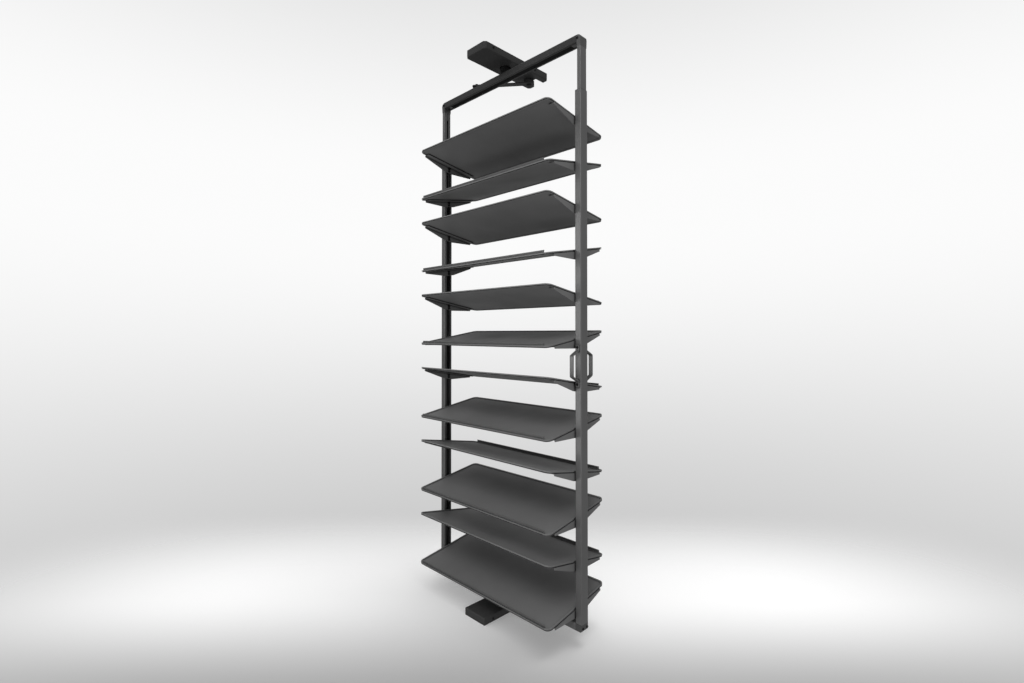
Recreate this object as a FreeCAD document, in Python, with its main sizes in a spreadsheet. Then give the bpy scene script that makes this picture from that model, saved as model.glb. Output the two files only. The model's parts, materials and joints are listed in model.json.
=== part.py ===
import FreeCAD, Part
import math
import os
import re

import Sketcher

# Shoe carousel: twelve tilted trays in a frame that turns between a floor unit and a ceiling unit.
# Millimetres. The origin is on the turning axis at floor level, +Z is up.
# The post with the pull handles is at +X, and the stop lever pivots at +Y.

SIZES = {
    # stack of trays
    "shelf_pitch": 150.0,
    "lowest_tray_rise": 74.0,
    "tray_depth": 308.0,
    "tray_tilt": 9.6,
    "tray_end_gap": 2.0,
    "tray_corner": 20.0,
    "tray_sheet": 1.2,
    "rim_width": 5.0,
    "rim_rise": 4.0,
    "rim_slope": 1.5,
    "hem_width": 7.5,
    "hem_drop": 3.5,
    # heel rail on each tray's low edge
    "rail_height": 8.5,
    "rail_sheet": 1.5,
    "rail_end_inset": 21.0,
    "rail_foot": 3.0,
    "rail_hem_drop": 4.0,
    # gusset brackets at the tray ends
    "bracket_span": 250.0,
    "bracket_foot": 44.0,
    "bracket_drop": 26.0,
    "bracket_end_drop": 7.0,
    "bracket_sheet": 2.5,
    "bracket_shelf": 22.0,
    "bracket_bolt_drop": 8.0,
    "bracket_bolt_pitch": 11.0,
    "bolt_head_height": 8.0,
    "bolt_head_thickness": 3.0,
    "bolt_head_overlap": 3.0,
    # frame
    "frame_width": 762.0,
    "profile_depth": 37.0,
    "profile_thickness": 26.0,
    "profile_wall": 1.6,
    "profile_slot": 20.0,
    "profile_round": 3.5,
    "post_above_tray": 89.0,
    "inner_thickness": 16.0,
    "inner_wall": 1.4,
    "inner_slot": 8.5,
    "inner_round": 3.0,
    "telescope_show": 147.0,
    "telescope_overlap": 254.0,
    "telescope_gap": 0.3,
    "guide_depth": 30.0,
    "guide_cap": 2.0,
    "seat_gap": 0.2,
    # corner connectors
    "corner_radius": 10.0,
    "corner_edge": 2.5,
    "top_corner_radius": 17.0,
    "top_corner_height": 42.0,
    "spigot_length": 30.0,
    "spigot_bolt_gap": 4.0,
    "corner_screw_inset": 11.0,
    "corner_screw_depth": 20.0,
    "corner_screw_x": 3.5,
    "spigot_screw_inset": 10.0,
    # pull handles on the +X post
    "handle_rise": 883.5,
    "handle_width": 15.0,
    "handle_strap": 4.0,
    "handle_reach": 35.5,
    "handle_grip": 72.0,
    "handle_root": 100.0,
    "handle_screw_pitch": 124.0,
    "handle_foot_end": 9.0,
    "handle_bend": 4.0,
    # pan-head screw used all over the part
    "screw_shank": 5.0,
    "screw_head": 9.0,
    "screw_head_height": 3.0,
    "screw_tail": 1.5,
    "screw_hole_gap": 0.2,
    # floor and ceiling units
    "cover_width": 108.0,
    "cover_length": 311.0,
    "cover_height": 26.0,
    "cover_wall": 2.0,
    "floor_chamfer": 2.0,
    "ceiling_chamfer": 9.0,
    "cover_edge": 2.0,
    "cover_screw_inset": 42.5,
    "cover_screw_height": 10.0,
    "prong_reach": 38.5,
    "notch_width": 49.0,
    "notch_depth": 44.0,
    "floor_gap": 24.0,
    "ceiling_gap": 25.0,
    "plate_thickness": 3.0,
    "plate_gap": 0.5,
    "ear_width": 14.0,
    "ear_sheet": 3.0,
    "anchor_inset_x": 16.0,
    "anchor_inset_y": 35.5,
    "anchor_hole": 6.5,
    # pivots
    "pivot_diameter": 20.0,
    "pivot_running_gap": 0.05,
    "pivot_tail": 11.0,
    "pedestal_diameter": 32.0,
    "hub_diameter": 39.0,
    "hub_hole": 44.0,
    "hub_neck": 30.0,
    "hub_neck_length": 8.0,
    "thrust_washer": 3.0,
    "thrust_gap": 0.3,
    # stop lever under the ceiling unit and the stud it catches
    "lever_pivot_inset": 20.5,
    "lever_pin": 12.0,
    "lever_thickness": 4.0,
    "lever_width": 24.0,
    "lever_lift": 6.0,
    "lever_hub_height": 17.0,
    "lever_pin_head": 18.0,
    "lever_pin_head_height": 3.0,
    "lever_tip": 16.0,
    "lever_corner": 6.0,
    "stud_x": -169.0,
    "stud_sleeve": 12.0,
    "stud_height": 19.0,
    "stud_shank": 8.0,
    "stud_gap": 1.0,
    "stud_nut": 13.0,
    "stud_nut_height": 5.0,
    "stud_tail": 3.0,
}
TRAY_COUNT = 12
CORNER_CHORDS = 3

DOC = FreeCAD.newDocument("ShoeCarousel")
SHEET = DOC.addObject("Spreadsheet::Sheet", "Sizes")
for row, (alias, size) in enumerate(SIZES.items(), start=1):
    SHEET.set(f"A{row}", alias)
    SHEET.set(f"B{row}", str(size))
    SHEET.setAlias(f"B{row}", alias)
DOC.recompute()

PIECES = []
X_AXIS = FreeCAD.Vector(1, 0, 0)
Y_AXIS = FreeCAD.Vector(0, 1, 0)
Z_AXIS = FreeCAD.Vector(0, 0, 1)

# Sizes that follow from the sheet, each written once.
TRAY_LENGTH = "(frame_width - 2 * profile_thickness - 2 * tray_end_gap)"
INNER_FACE = "(frame_width / 2 - profile_thickness)"
FRAME_BOTTOM = "(cover_height + floor_gap)"
LOWEST_TRAY = f"({FRAME_BOTTOM} + lowest_tray_rise)"
POST_TOP = f"({LOWEST_TRAY} + {TRAY_COUNT - 1} * shelf_pitch + post_above_tray)"
FRAME_TOP = f"({POST_TOP} + telescope_show + top_corner_height)"
CEILING_UNDER = f"({FRAME_TOP} + ceiling_gap)"
CEILING_TOP = f"({CEILING_UNDER} + cover_height)"
HANDLE_HEIGHT = f"({FRAME_BOTTOM} + handle_rise)"
INNER_DEPTH = "(profile_depth - 2 * profile_wall - 2 * telescope_gap)"
INNER_OUTSIDE = "(frame_width / 2 - profile_wall - telescope_gap)"
TOP_CORNER_THICKNESS = "(profile_wall + telescope_gap + inner_thickness)"
SPIGOT_DEPTH = "(profile_depth - 2 * profile_wall - 2 * seat_gap)"
SPIGOT_HEIGHT = "(profile_thickness - 2 * profile_wall - 2 * seat_gap)"
HEXAGON_CORNERS = 2 / math.sqrt(3)
SCREW_HOLE = f"({HEXAGON_CORNERS} * screw_shank + 2 * screw_hole_gap)"
PLATE_INSET = "(cover_wall + plate_gap)"
EAR_FACE = "(cover_width / 2 - cover_wall - seat_gap)"
COVER_SCREW_Y = "(cover_length / 2 - cover_screw_inset)"
LEVER_PIVOT_Y = "(cover_length / 2 - lever_pivot_inset)"
LEVER_REACH = f"sqrt(stud_x ^ 2 + {LEVER_PIVOT_Y} ^ 2)"
LEVER_UNDER = f"({FRAME_TOP} + lever_lift)"


def expression(text):
    """A formula in the sheet's words, with each word pointing at its cell."""
    return re.sub(r"[a-z_]+", lambda word: f"Sizes.{word[0]}" if word[0] in SIZES else word[0], text)


def number(text):
    """A formula's value in millimetres or degrees."""
    return float(SHEET.evalExpression(expression(text)))


def bind(thing, prop, text):
    """Bind a property to a formula of the sheet."""
    thing.setExpression(prop, expression(text))


def vector(x, y, z):
    """A point from three formulas."""
    return FreeCAD.Vector(number(x), number(y), number(z))


def mirrored(points):
    """The same outline points on the other side of the sketch's vertical axis, in reverse."""
    return [(f"-({x})", y) for x, y in reversed(points)]


def new_body(label):
    """A body under its own name."""
    body = DOC.addObject("PartDesign::Body", label)
    body.Label = label
    return body


def new_sketch(body, plane, offset=None):
    """A sketch on one of the body's own planes, lifted along its normal."""
    sketch = body.newObject("Sketcher::SketchObject", f"{body.Name}_outline")
    support = next(item for item in body.Origin.OriginFeatures if item.Role == plane)
    sketch.AttachmentSupport = (support, [""])
    sketch.MapMode = "FlatFace"
    if offset:
        bind(sketch, "AttachmentOffset.Base.z", offset)
    return sketch


def place_point(sketch, geometry, end, at):
    """Hold a point of the sketch at a pair of formulas."""
    for axis, kind, text in ((-2, "DistanceX", at[0]), (-1, "DistanceY", at[1])):
        size = number(text)
        if abs(size) < 1e-9:
            sketch.addConstraint(Sketcher.Constraint("PointOnObject", geometry, end, axis))
        else:
            index = sketch.addConstraint(Sketcher.Constraint(kind, -1, 1, geometry, end, size))
            bind(sketch, f"Constraints[{index}]", text)


def polygons(body, plane, loops, offset=None):
    """One sketch of closed outlines, each through pairs of formulas."""
    sketch = new_sketch(body, plane, offset)
    for points in loops:
        first, count = sketch.GeometryCount, len(points)
        corners = [vector(x, y, "0") for x, y in points]
        for index, corner in enumerate(corners):
            sketch.addGeometry(Part.LineSegment(corner, corners[(index + 1) % count]))
        for index, point in enumerate(points):
            following = first + (index + 1) % count
            sketch.addConstraint(Sketcher.Constraint("Coincident", first + index, 2, following, 1))
            place_point(sketch, first + index, 1, point)
    return sketch


def polygon(body, plane, points, offset=None):
    """A sketch of one closed outline."""
    return polygons(body, plane, [points], offset)


def rectangle(body, plane, low, high, offset=None):
    """A rectangle between two corners, each a pair of formulas."""
    return polygon(body, plane, [low, (high[0], low[1]), high, (low[0], high[1])], offset)


def rounded_rectangle(body, width, depth, radius, offset):
    """A centred rectangle whose corners are rounded in a few chords, flat in the body's XY plane."""
    corner = []
    for step in range(CORNER_CHORDS + 1):
        turn = math.pi / 2 * step / CORNER_CHORDS
        across = f"({width}) / 2 - {1 - math.cos(turn)} * ({radius})"
        along = f"({depth}) / 2 - {1 - math.sin(turn)} * ({radius})"
        corner.append((across, along))
    right = [(x, f"-({y})") for x, y in reversed(corner)] + corner
    return polygon(body, "XY_Plane", right + mirrored(right), offset)


def hexagons(body, plane, across, centres, offset=None):
    """One sketch with a hexagon of a size across its flats round each centre."""
    loops = []
    for x, y in centres:
        right = [
            (f"{HEXAGON_CORNERS} * ({across}) / 4", f"-({across}) / 2"),
            (f"{HEXAGON_CORNERS} * ({across}) / 2", "0"),
            (f"{HEXAGON_CORNERS} * ({across}) / 4", f"({across}) / 2"),
        ]
        loops.append([(f"({x}) + ({dx})", f"({y}) + ({dy})") for dx, dy in right + mirrored(right)])
    return polygons(body, plane, loops, offset)


def circles(body, plane, diameter, centres, offset=None):
    """One sketch with a circle round each centre."""
    sketch = new_sketch(body, plane, offset)
    for index, (x, y) in enumerate(centres):
        sketch.addGeometry(Part.Circle(vector(x, y, "0"), Z_AXIS, number(diameter) / 2))
        place_point(sketch, index, 3, (x, y))
        size = sketch.addConstraint(Sketcher.Constraint("Diameter", index, number(diameter)))
        bind(sketch, f"Constraints[{size}]", diameter)
    return sketch


def pad(body, sketch, length, symmetric=False, backwards=False):
    """Raise a sketch to a solid."""
    feature = body.newObject("PartDesign::Pad", f"{body.Name}_pad")
    feature.Profile = sketch
    bind(feature, "Length", length)
    feature.SideType = "Symmetric" if symmetric else "One side"
    feature.Reversed = backwards
    DOC.recompute()


def pocket(body, sketch, depth=None, backwards=False):
    """Cut a sketch out of the body, to a depth or right through, and make sure that it cut something."""
    before = body.Shape.Volume
    feature = body.newObject("PartDesign::Pocket", f"{body.Name}_pocket")
    feature.Profile = sketch
    feature.Reversed = backwards
    if depth:
        bind(feature, "Length", depth)
    else:
        feature.Type = "ThroughAll"
        feature.SideType = "Symmetric"
    DOC.recompute()
    if body.Shape.Volume > before - 1e-3:
        raise RuntimeError(f"a pocket of {body.Label} cuts nothing")


def turned(label, points):
    """A body turned about its Z axis from half an outline of radius and height."""
    body = new_body(label)
    feature = body.newObject("PartDesign::Revolution", f"{body.Name}_turning")
    feature.Profile = polygon(body, "XZ_Plane", points)
    feature.ReferenceAxis = (feature.Profile[0], ["V_Axis"])
    feature.Angle = 360
    DOC.recompute()
    return body


def loft(body, kind, lower, upper):
    """A straight-sided loft between two sketches, added or taken away."""
    feature = body.newObject(f"PartDesign::{kind}", f"{body.Name}_{kind.lower()}")
    feature.Profile = lower
    feature.Sections = [upper]
    feature.Ruled = True
    DOC.recompute()


def dress(body, kind, size, chosen):
    """Fillet or chamfer the edges that a test picks."""
    base = body.Tip
    names = [f"Edge{index}" for index, edge in enumerate(base.Shape.Edges, start=1) if chosen(edge)]
    feature = body.newObject(f"PartDesign::{kind}", f"{body.Name}_{kind.lower()}")
    feature.Base = (base, names)
    bind(feature, "Radius" if kind == "Fillet" else "Size", size)
    DOC.recompute()


def runs_along(edge, axis):
    """Whether a straight edge runs along an axis."""
    return len(edge.Vertexes) == 2 and abs(abs(edge.tangentAt(edge.FirstParameter).dot(axis)) - 1) < 1e-6


def near(value, text):
    """Whether a coordinate is at a formula's value."""
    return abs(value - number(text)) < 1e-4


def place(body, x="0", y="0", z="0", axis=Z_AXIS, angle="0"):
    """Put a body at formulas, turned about an axis."""
    body.Placement = FreeCAD.Placement(FreeCAD.Vector(), FreeCAD.Rotation(axis, 1))
    for name, text in (("x", x), ("y", y), ("z", z)):
        bind(body, f"Placement.Base.{name}", text)
    bind(body, "Placement.Rotation.Angle", angle)
    return body


def facing(side):
    """The turn that takes a piece of the +X side to its own side."""
    return "0" if side > 0 else "180"


def keep(piece):
    """Count a finished piece among those that are written."""
    PIECES.append(piece)
    return piece


def group(label, copies):
    """Equal pieces under one name: a copy of a master body at each placement."""
    piece = DOC.addObject("Part::Feature", label)
    piece.Label = label
    piece.Shape = Part.makeCompound([master.Shape.transformed(spot.toMatrix()) for master, spot in copies])
    return keep(piece)


def screws(label, grip, spots):
    """A set of equal screws under one name."""
    master = screw(label[:-1], grip)
    return group(label, [(master, spot) for spot in spots])


def driven(x, y, z, direction):
    """Placement of a screw whose head seats at a point and whose shank runs along a direction."""
    return FreeCAD.Placement(vector(x, y, z), FreeCAD.Rotation(-Z_AXIS, FreeCAD.Vector(*direction)))


def screw(label, grip):
    """Hexagon-head screw: its seat is at the origin and its shank runs down."""
    body = new_body(label)
    pad(body, hexagons(body, "XY_Plane", "screw_head", [("0", "0")]), "screw_head_height")
    pad(body, hexagons(body, "XY_Plane", "screw_shank", [("0", "0")]), grip, backwards=True)
    return body


def tray_height(index):
    """Height of a tray's panel over the turning axis."""
    return f"({LOWEST_TRAY} + {index} * shelf_pitch)"


def tray_frame(index, turn=0):
    """Placement of a tray's own frame, with a half turn for what sits at its -X end."""
    tilt = number("tray_tilt") if index % 2 == 0 else -number("tray_tilt")
    lean = FreeCAD.Rotation(X_AXIS, tilt).multiply(FreeCAD.Rotation(Z_AXIS, turn))
    return FreeCAD.Placement(vector("0", "0", tray_height(index)), lean)


def lean_like_tray(body, index):
    """Bind a body to a tray's place and tilt: even trays fall to -Y and odd ones to +Y."""
    axis = X_AXIS if index % 2 == 0 else -X_AXIS
    return place(body, z=tray_height(index), axis=axis, angle="tray_tilt")


def tray_outline(body, inset, level):
    """Outline of a tray, drawn in by an inset, at a level over its panel."""
    length, depth = f"{TRAY_LENGTH} - 2 * ({inset})", f"tray_depth - 2 * ({inset})"
    return rounded_rectangle(body, length, depth, f"tray_corner - ({inset})", level)


def tray(index):
    """Pressed sheet tray: a panel in a raised rim, with the rim's hem turned in underneath."""
    body = new_body(f"tray_{index + 1:02d}")
    pad(body, tray_outline(body, "0", "-hem_drop"), "hem_drop + rim_rise")
    rim = tray_outline(body, "rim_width", "rim_rise")
    panel = tray_outline(body, "rim_width + rim_slope", "0")
    loft(body, "SubtractiveLoft", rim, panel)
    hem = tray_outline(body, "hem_width", "-hem_drop")
    underside = tray_outline(body, "hem_width + rim_slope", "-tray_sheet")
    loft(body, "SubtractiveLoft", hem, underside)
    return keep(lean_like_tray(body, index))


def heel_rail(index):
    """Angle strip on the rim of a tray's low edge, with its foot outwards and a hem along its top."""
    body = new_body(f"heel_rail_{index + 1:02d}")
    side = "-1" if index % 2 == 0 else "1"
    back = "(tray_depth / 2 - rim_width)"
    face = f"({back} + rail_sheet)"
    top = "(rim_rise + rail_height)"
    points = (
        (f"{face} + rail_foot", "rim_rise"),
        (f"{face} + rail_foot", "rim_rise + rail_sheet"),
        (face, "rim_rise + rail_sheet"),
        (face, top),
        (f"{back} - rail_sheet", top),
        (f"{back} - rail_sheet", f"{top} - rail_hem_drop"),
        (back, f"{top} - rail_hem_drop"),
        (back, "rim_rise"),
    )
    outline = polygon(body, "YZ_Plane", [(f"{side} * ({y})", z) for y, z in points])
    pad(body, outline, f"{TRAY_LENGTH} - 2 * rail_end_inset", symmetric=True)
    return keep(lean_like_tray(body, index))


def bracket_bolt_drops():
    """How far a bracket's two bolts lie below the middle of the tray."""
    first = f"hem_drop + bracket_bolt_drop"
    return [f"({first})", f"({first} + bracket_bolt_pitch)"]


def tray_bracket(label, hand):
    """Gusset bracket under a tray's +X end: a tapered web on the post and a shelf under the rim.

    The bolts' slot is upright when the tray leans by its tilt, to -Y for hand 1 and to +Y for hand -1.
    """
    body = new_body(label)
    half, foot = "bracket_span / 2", "bracket_foot / 2"
    taper = [
        (half, f"-hem_drop"),
        (half, f"-(hem_drop + bracket_end_drop)"),
        (foot, f"-(hem_drop + bracket_drop)"),
    ]
    web = polygon(body, "YZ_Plane", taper + mirrored(taper), INNER_FACE)
    pad(body, web, "bracket_sheet", backwards=True)
    shelf = rectangle(
        body, "YZ_Plane", (f"-{half}", f"-(hem_drop + bracket_sheet)"), (half, f"-hem_drop"),
        f"{INNER_FACE} - bracket_sheet")
    pad(body, shelf, "bracket_shelf", backwards=True)
    across, lean = "(screw_shank / 2 + screw_hole_gap)", f"{hand} * sin(tray_tilt)"
    upper, lower = bracket_bolt_drops()
    slot = [
        (f"{side} * {across} * cos(tray_tilt) - {drop} * {lean}",
         f"-{side} * {across} * {lean} - {drop} * cos(tray_tilt)")
        for side, drop in (
            (-1, f"({upper} - {across})"), (1, f"({upper} - {across})"),
            (1, f"({lower} + {across})"), (-1, f"({lower} + {across})"))]
    pocket(body, polygon(body, "YZ_Plane", slot))
    return body


def tray_bolts():
    """Bolts of a bracket with their nuts: two square necks on a plate that lies behind the post's slot."""
    body = new_body("bracket_bolts")
    behind = f"{INNER_FACE} + profile_wall"
    half, rise = "(profile_slot / 2 + bolt_head_overlap)", "(bolt_head_height / 2)"
    upper, lower = bracket_bolt_drops()
    plate = rectangle(
        body, "YZ_Plane", (f"-{half}", f"-{lower} - {rise}"), (half, f"{rise} - {upper}"), behind)
    pad(body, plate, "bolt_head_thickness")
    neck = "(screw_shank / 2)"
    for drop in (upper, lower):
        shank = rectangle(
            body, "YZ_Plane", (f"-{neck}", f"-{drop} - {neck}"), (neck, f"{neck} - {drop}"), behind)
        pad(body, shank, "profile_wall + bracket_sheet", backwards=True)
        nut = hexagons(body, "YZ_Plane", "screw_head", [("0", f"-{drop}")], f"{INNER_FACE} - bracket_sheet")
        pad(body, nut, "screw_head_height", backwards=True)
    return body


def channel(label, thickness, depth, wall, slot, rounding, length):
    """Slotted channel along +Z: its slot is in the face at x = 0 and its back is at x = thickness."""
    body = new_body(label)
    side = f"({depth} / 2)"
    half = [
        ("0", f"{slot} / 2"),
        (wall, f"{slot} / 2"),
        (wall, f"{side} - {wall}"),
        (f"{thickness} - {wall}", f"{side} - {wall}"),
    ]
    outline = [("0", f"-{side}"), (thickness, f"-{side}"), (thickness, side), ("0", side)]
    outline += half + [(x, f"-({y})") for x, y in reversed(half)]
    pad(body, polygon(body, "XY_Plane", outline), length)
    dress(body, "Fillet", rounding, lambda edge: runs_along(edge, Z_AXIS)
          and near(abs(edge.BoundBox.YMax), side)
          and (near(edge.BoundBox.XMax, "0") or near(edge.BoundBox.XMax, thickness)))
    return body


def frame_channel(label, length):
    """The frame's main section."""
    return channel(
        label, "profile_thickness", "profile_depth", "profile_wall", "profile_slot", "profile_round",
        length)


def lower_post(label, side):
    """Lower post with its slot towards the trays. The post at +X is drilled for the handles."""
    foot = f"({FRAME_BOTTOM} + profile_thickness)"
    body = frame_channel(label, f"{POST_TOP} - {foot}")
    if side > 0:
        height = f"{HANDLE_HEIGHT} - {foot}"
        spots = [
            ("profile_thickness / 2", f"{height} + {sign} * handle_screw_pitch / 2") for sign in (-1, 1)]
        pocket(body, hexagons(body, "XZ_Plane", SCREW_HOLE, spots))
    return keep(place(body, x=f"{side} * {INNER_FACE}", z=foot, angle=facing(side)))


def upper_post(label, side):
    """Upper post that slides in the lower one along its back wall."""
    body = channel(
        label, "inner_thickness", INNER_DEPTH, "inner_wall", "inner_slot", "inner_round",
        "telescope_show + telescope_overlap")
    return keep(place(
        body, x=f"{side} * ({INNER_OUTSIDE} - inner_thickness)", z=f"{POST_TOP} - telescope_overlap",
        angle=facing(side)))


def post_guide(label, side):
    """Guide in the mouth of a lower post: a cap on its rim and a block beside the upper post."""
    body = new_body(label)
    half = "profile_depth / 2"
    pad(body, rectangle(body, "XY_Plane", ("0", f"-{half}"), ("profile_thickness", half)), "guide_cap")
    dress(body, "Chamfer", "corner_edge", lambda edge: runs_along(edge, Z_AXIS))
    back = "(profile_thickness - profile_wall)"
    front = f"({back} - inner_thickness - 2 * telescope_gap)"
    throat = f"({INNER_DEPTH} / 2 + telescope_gap)"
    pocket(body, rectangle(body, "XY_Plane", (front, f"-{throat}"), (back, throat)))
    seat = f"({SPIGOT_DEPTH} / 2)"
    block = rectangle(body, "XY_Plane", ("profile_wall + seat_gap", f"-{seat}"), (front, seat))
    pad(body, block, "guide_depth", backwards=True)
    pocket(body, hexagons(body, "YZ_Plane", SCREW_HOLE, [("0", "-guide_depth / 2")]))
    return keep(place(body, x=f"{side} * {INNER_FACE}", z=POST_TOP, angle=facing(side)))


def crossbar(label, end_block, stud):
    """Cross rail between two corner blocks, with holes for the hub and the stud in its back wall."""
    length = f"(frame_width - 2 * {end_block})"
    body = frame_channel(label, length)
    holes = [("hub_neck", f"{length} / 2")]
    if stud:
        holes.append(("stud_shank", f"{length} / 2 - stud_x"))
    for size, along in holes:
        hole = circles(body, "YZ_Plane", f"{size} + 2 * seat_gap", [("0", along)], "profile_thickness")
        pocket(body, hole, "2 * profile_wall")
    return keep(body)


def corner_block(label, thickness, height, level, radius):
    """Block of a corner connector, rounded on its outside corner, with the edges round it eased."""
    body = new_body(label)
    half = "profile_depth / 2"
    face = rectangle(body, "XZ_Plane", ("0", "0"), (thickness, height))
    pad(body, face, "profile_depth", symmetric=True)
    dress(body, "Fillet", radius, lambda edge: runs_along(edge, Y_AXIS)
          and near(edge.BoundBox.XMax, thickness) and near(edge.BoundBox.ZMax, level))
    dress(body, "Chamfer", "corner_edge", lambda edge: edge.BoundBox.YLength < 1e-6
          and near(abs(edge.BoundBox.YMax), half)
          and (near(edge.BoundBox.XMax, thickness) or near(edge.BoundBox.Center.z, level)))
    return body


def top_corner(label, side):
    """Connector at a top corner, with spigots into the crossbar and down into the upper post."""
    body = corner_block(
        label, TOP_CORNER_THICKNESS, "top_corner_height", "top_corner_height", "top_corner_radius")
    low = "(top_corner_height - profile_thickness + profile_wall + seat_gap)"
    bar = rectangle(body, "XZ_Plane", ("-spigot_length", low), ("0", f"{low} + {SPIGOT_HEIGHT}"))
    pad(body, bar, SPIGOT_DEPTH, symmetric=True)
    back = "(inner_thickness - inner_wall - seat_gap)"
    thin = "(inner_thickness - 2 * inner_wall - 2 * seat_gap)"
    post = rectangle(body, "XZ_Plane", (f"{back} - {thin}", "-spigot_length"), (back, "0"))
    pad(body, post, f"{INNER_DEPTH} - 2 * inner_wall - 2 * seat_gap", symmetric=True)
    level = "top_corner_height - profile_thickness / 2"
    pocket(body, hexagons(body, "XZ_Plane", SCREW_HOLE, [("corner_screw_x", level)]))
    under = hexagons(body, "XY_Plane", SCREW_HOLE, [("-spigot_screw_inset", "0")], low)
    pocket(body, under, f"{SPIGOT_HEIGHT} / 2", backwards=True)
    return keep(place(
        body, x=f"{side} * (frame_width / 2 - {TOP_CORNER_THICKNESS})",
        z=f"{FRAME_TOP} - top_corner_height", angle=facing(side)))


def bottom_corner(label, side):
    """Connector at a bottom corner, with spigots into the crossbar and up into the lower post."""
    body = corner_block(label, "profile_thickness", "profile_thickness", "0", "corner_radius")
    low, high = "profile_wall + seat_gap", "profile_thickness - profile_wall - seat_gap"
    bar = rectangle(body, "XZ_Plane", ("-spigot_length", low), ("0", high))
    pad(body, bar, SPIGOT_DEPTH, symmetric=True)
    lowest_bolt = f"(lowest_tray_rise - {bracket_bolt_drops()[1]} - bolt_head_height / 2)"
    post = rectangle(
        body, "XZ_Plane", (low, "profile_thickness"), (high, f"{lowest_bolt} - spigot_bolt_gap"))
    pad(body, post, SPIGOT_DEPTH, symmetric=True)
    spots = [(f"{sign} * corner_screw_inset", "profile_thickness / 2") for sign in (-1, 1)]
    pocket(body, hexagons(body, "YZ_Plane", SCREW_HOLE, spots, "profile_thickness"), "corner_screw_depth")
    return keep(place(body, x=f"{side} * {INNER_FACE}", z=FRAME_BOTTOM, angle=facing(side)))


def handle(label, side):
    """Pull handle bent from flat strap, with its two feet on a side of the post at +X."""
    body = new_body(label)
    strap, shift = "handle_strap", "0.6 * handle_strap"
    root, grip = "handle_root / 2", "handle_grip / 2"
    end = "handle_screw_pitch / 2 + handle_foot_end"
    inner = [("0", end), ("0", root), (f"handle_reach - {strap}", f"{grip} - {shift}")]
    outer = [("handle_reach", grip), (strap, f"{root} + {shift}"), (strap, end)]
    outline = inner + [(y, f"-({z})") for y, z in reversed(inner)]
    outline += [(y, f"-({z})") for y, z in reversed(outer)] + outer
    pad(body, polygon(body, "YZ_Plane", outline), "handle_width", symmetric=True)
    bends = {"handle_bend": (inner[2], outer[1]), f"handle_bend + {strap}": (inner[1], outer[0])}
    for radius, corners in bends.items():
        dress(body, "Fillet", radius, lambda edge: runs_along(edge, X_AXIS) and any(
            near(edge.BoundBox.YMax, y) and near(abs(edge.BoundBox.ZMax), z) for y, z in corners))
    spots = [("0", f"{sign} * handle_screw_pitch / 2") for sign in (-1, 1)]
    pocket(body, hexagons(body, "XZ_Plane", SCREW_HOLE, spots), f"2 * {strap}")
    return keep(place(
        body, x="frame_width / 2 - profile_thickness / 2", y=f"{side} * profile_depth / 2",
        z=HANDLE_HEIGHT, angle=facing(side)))


def unit_outline(inset, forked):
    """Outline of a unit, drawn in by an inset: cut corners, and two prongs where it is forked."""
    side, end = f"(cover_width / 2 - {inset})", f"(cover_length / 2 - {inset})"
    cut = "ceiling_chamfer" if forked else "floor_chamfer"
    front = [(f"{side} - {cut}", f"-{end}"), (side, f"{cut} - {end}")]
    if forked:
        tip = f"({end} + prong_reach)"
        notch, root = f"(notch_width / 2 + {inset})", f"({end} + prong_reach - notch_depth)"
        back = [(side, f"{tip} - {cut}"), (f"{side} - {cut}", tip)]
        back += [(notch, tip), (notch, root)]
    else:
        back = [(side, f"{end} - {cut}"), (f"{side} - {cut}", end)]
    return front + back + mirrored(front + back)


def unit_cover(label, forked):
    """Cover of a floor or ceiling unit: a shell that is closed at z = cover_height."""
    body = new_body(label)
    pad(body, polygon(body, "XY_Plane", unit_outline("0", forked)), "cover_height")
    dress(body, "Chamfer", "cover_edge", lambda edge: near(edge.BoundBox.ZMin, "cover_height"))
    inside = polygon(body, "XY_Plane", unit_outline("cover_wall", forked))
    pocket(body, inside, "cover_height - cover_wall", backwards=True)
    pocket(body, circles(body, "XY_Plane", "hub_hole", [("0", "0")]))
    if forked:
        pocket(body, circles(body, "XY_Plane", "lever_pin + 2 * stud_gap", [("0", LEVER_PIVOT_Y)]))
    spots = [(f"{sign} * {COVER_SCREW_Y}", "cover_screw_height") for sign in (-1, 1)]
    pocket(body, hexagons(body, "YZ_Plane", SCREW_HOLE, spots))
    return body


def pivot_plate(label, pedestal, reach, forked):
    """Mounting plate with a pivot pin on a pedestal, and an ear for each cover screw."""
    body = new_body(label)
    pad(body, polygon(body, "XY_Plane", unit_outline(PLATE_INSET, forked)), "plate_thickness")
    pad(body, circles(body, "XY_Plane", "pedestal_diameter", [("0", "0")]), pedestal)
    pad(body, circles(body, "XY_Plane", "pivot_diameter", [("0", "0")]), reach)
    for side in (-1, 1):
        for end in (-1, 1):
            middle = f"{end} * {COVER_SCREW_Y}"
            ear = rectangle(
                body, "XY_Plane", (f"{side} * ({EAR_FACE} - ear_sheet)", f"{middle} - ear_width / 2"),
                (f"{side} * {EAR_FACE}", f"{middle} + ear_width / 2"))
            pad(body, ear, "cover_screw_height + ear_width / 2")
    spots = [(f"{end} * {COVER_SCREW_Y}", "cover_screw_height") for end in (-1, 1)]
    pocket(body, hexagons(body, "YZ_Plane", SCREW_HOLE, spots))
    across, along = "(cover_width / 2 - anchor_inset_x)", "(cover_length / 2 - anchor_inset_y)"
    anchors = [(f"{side} * {across}", f"{end} * {along}") for side in (-1, 1) for end in (-1, 1)]
    pocket(body, circles(body, "XY_Plane", "anchor_hole", anchors))
    return body


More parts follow.
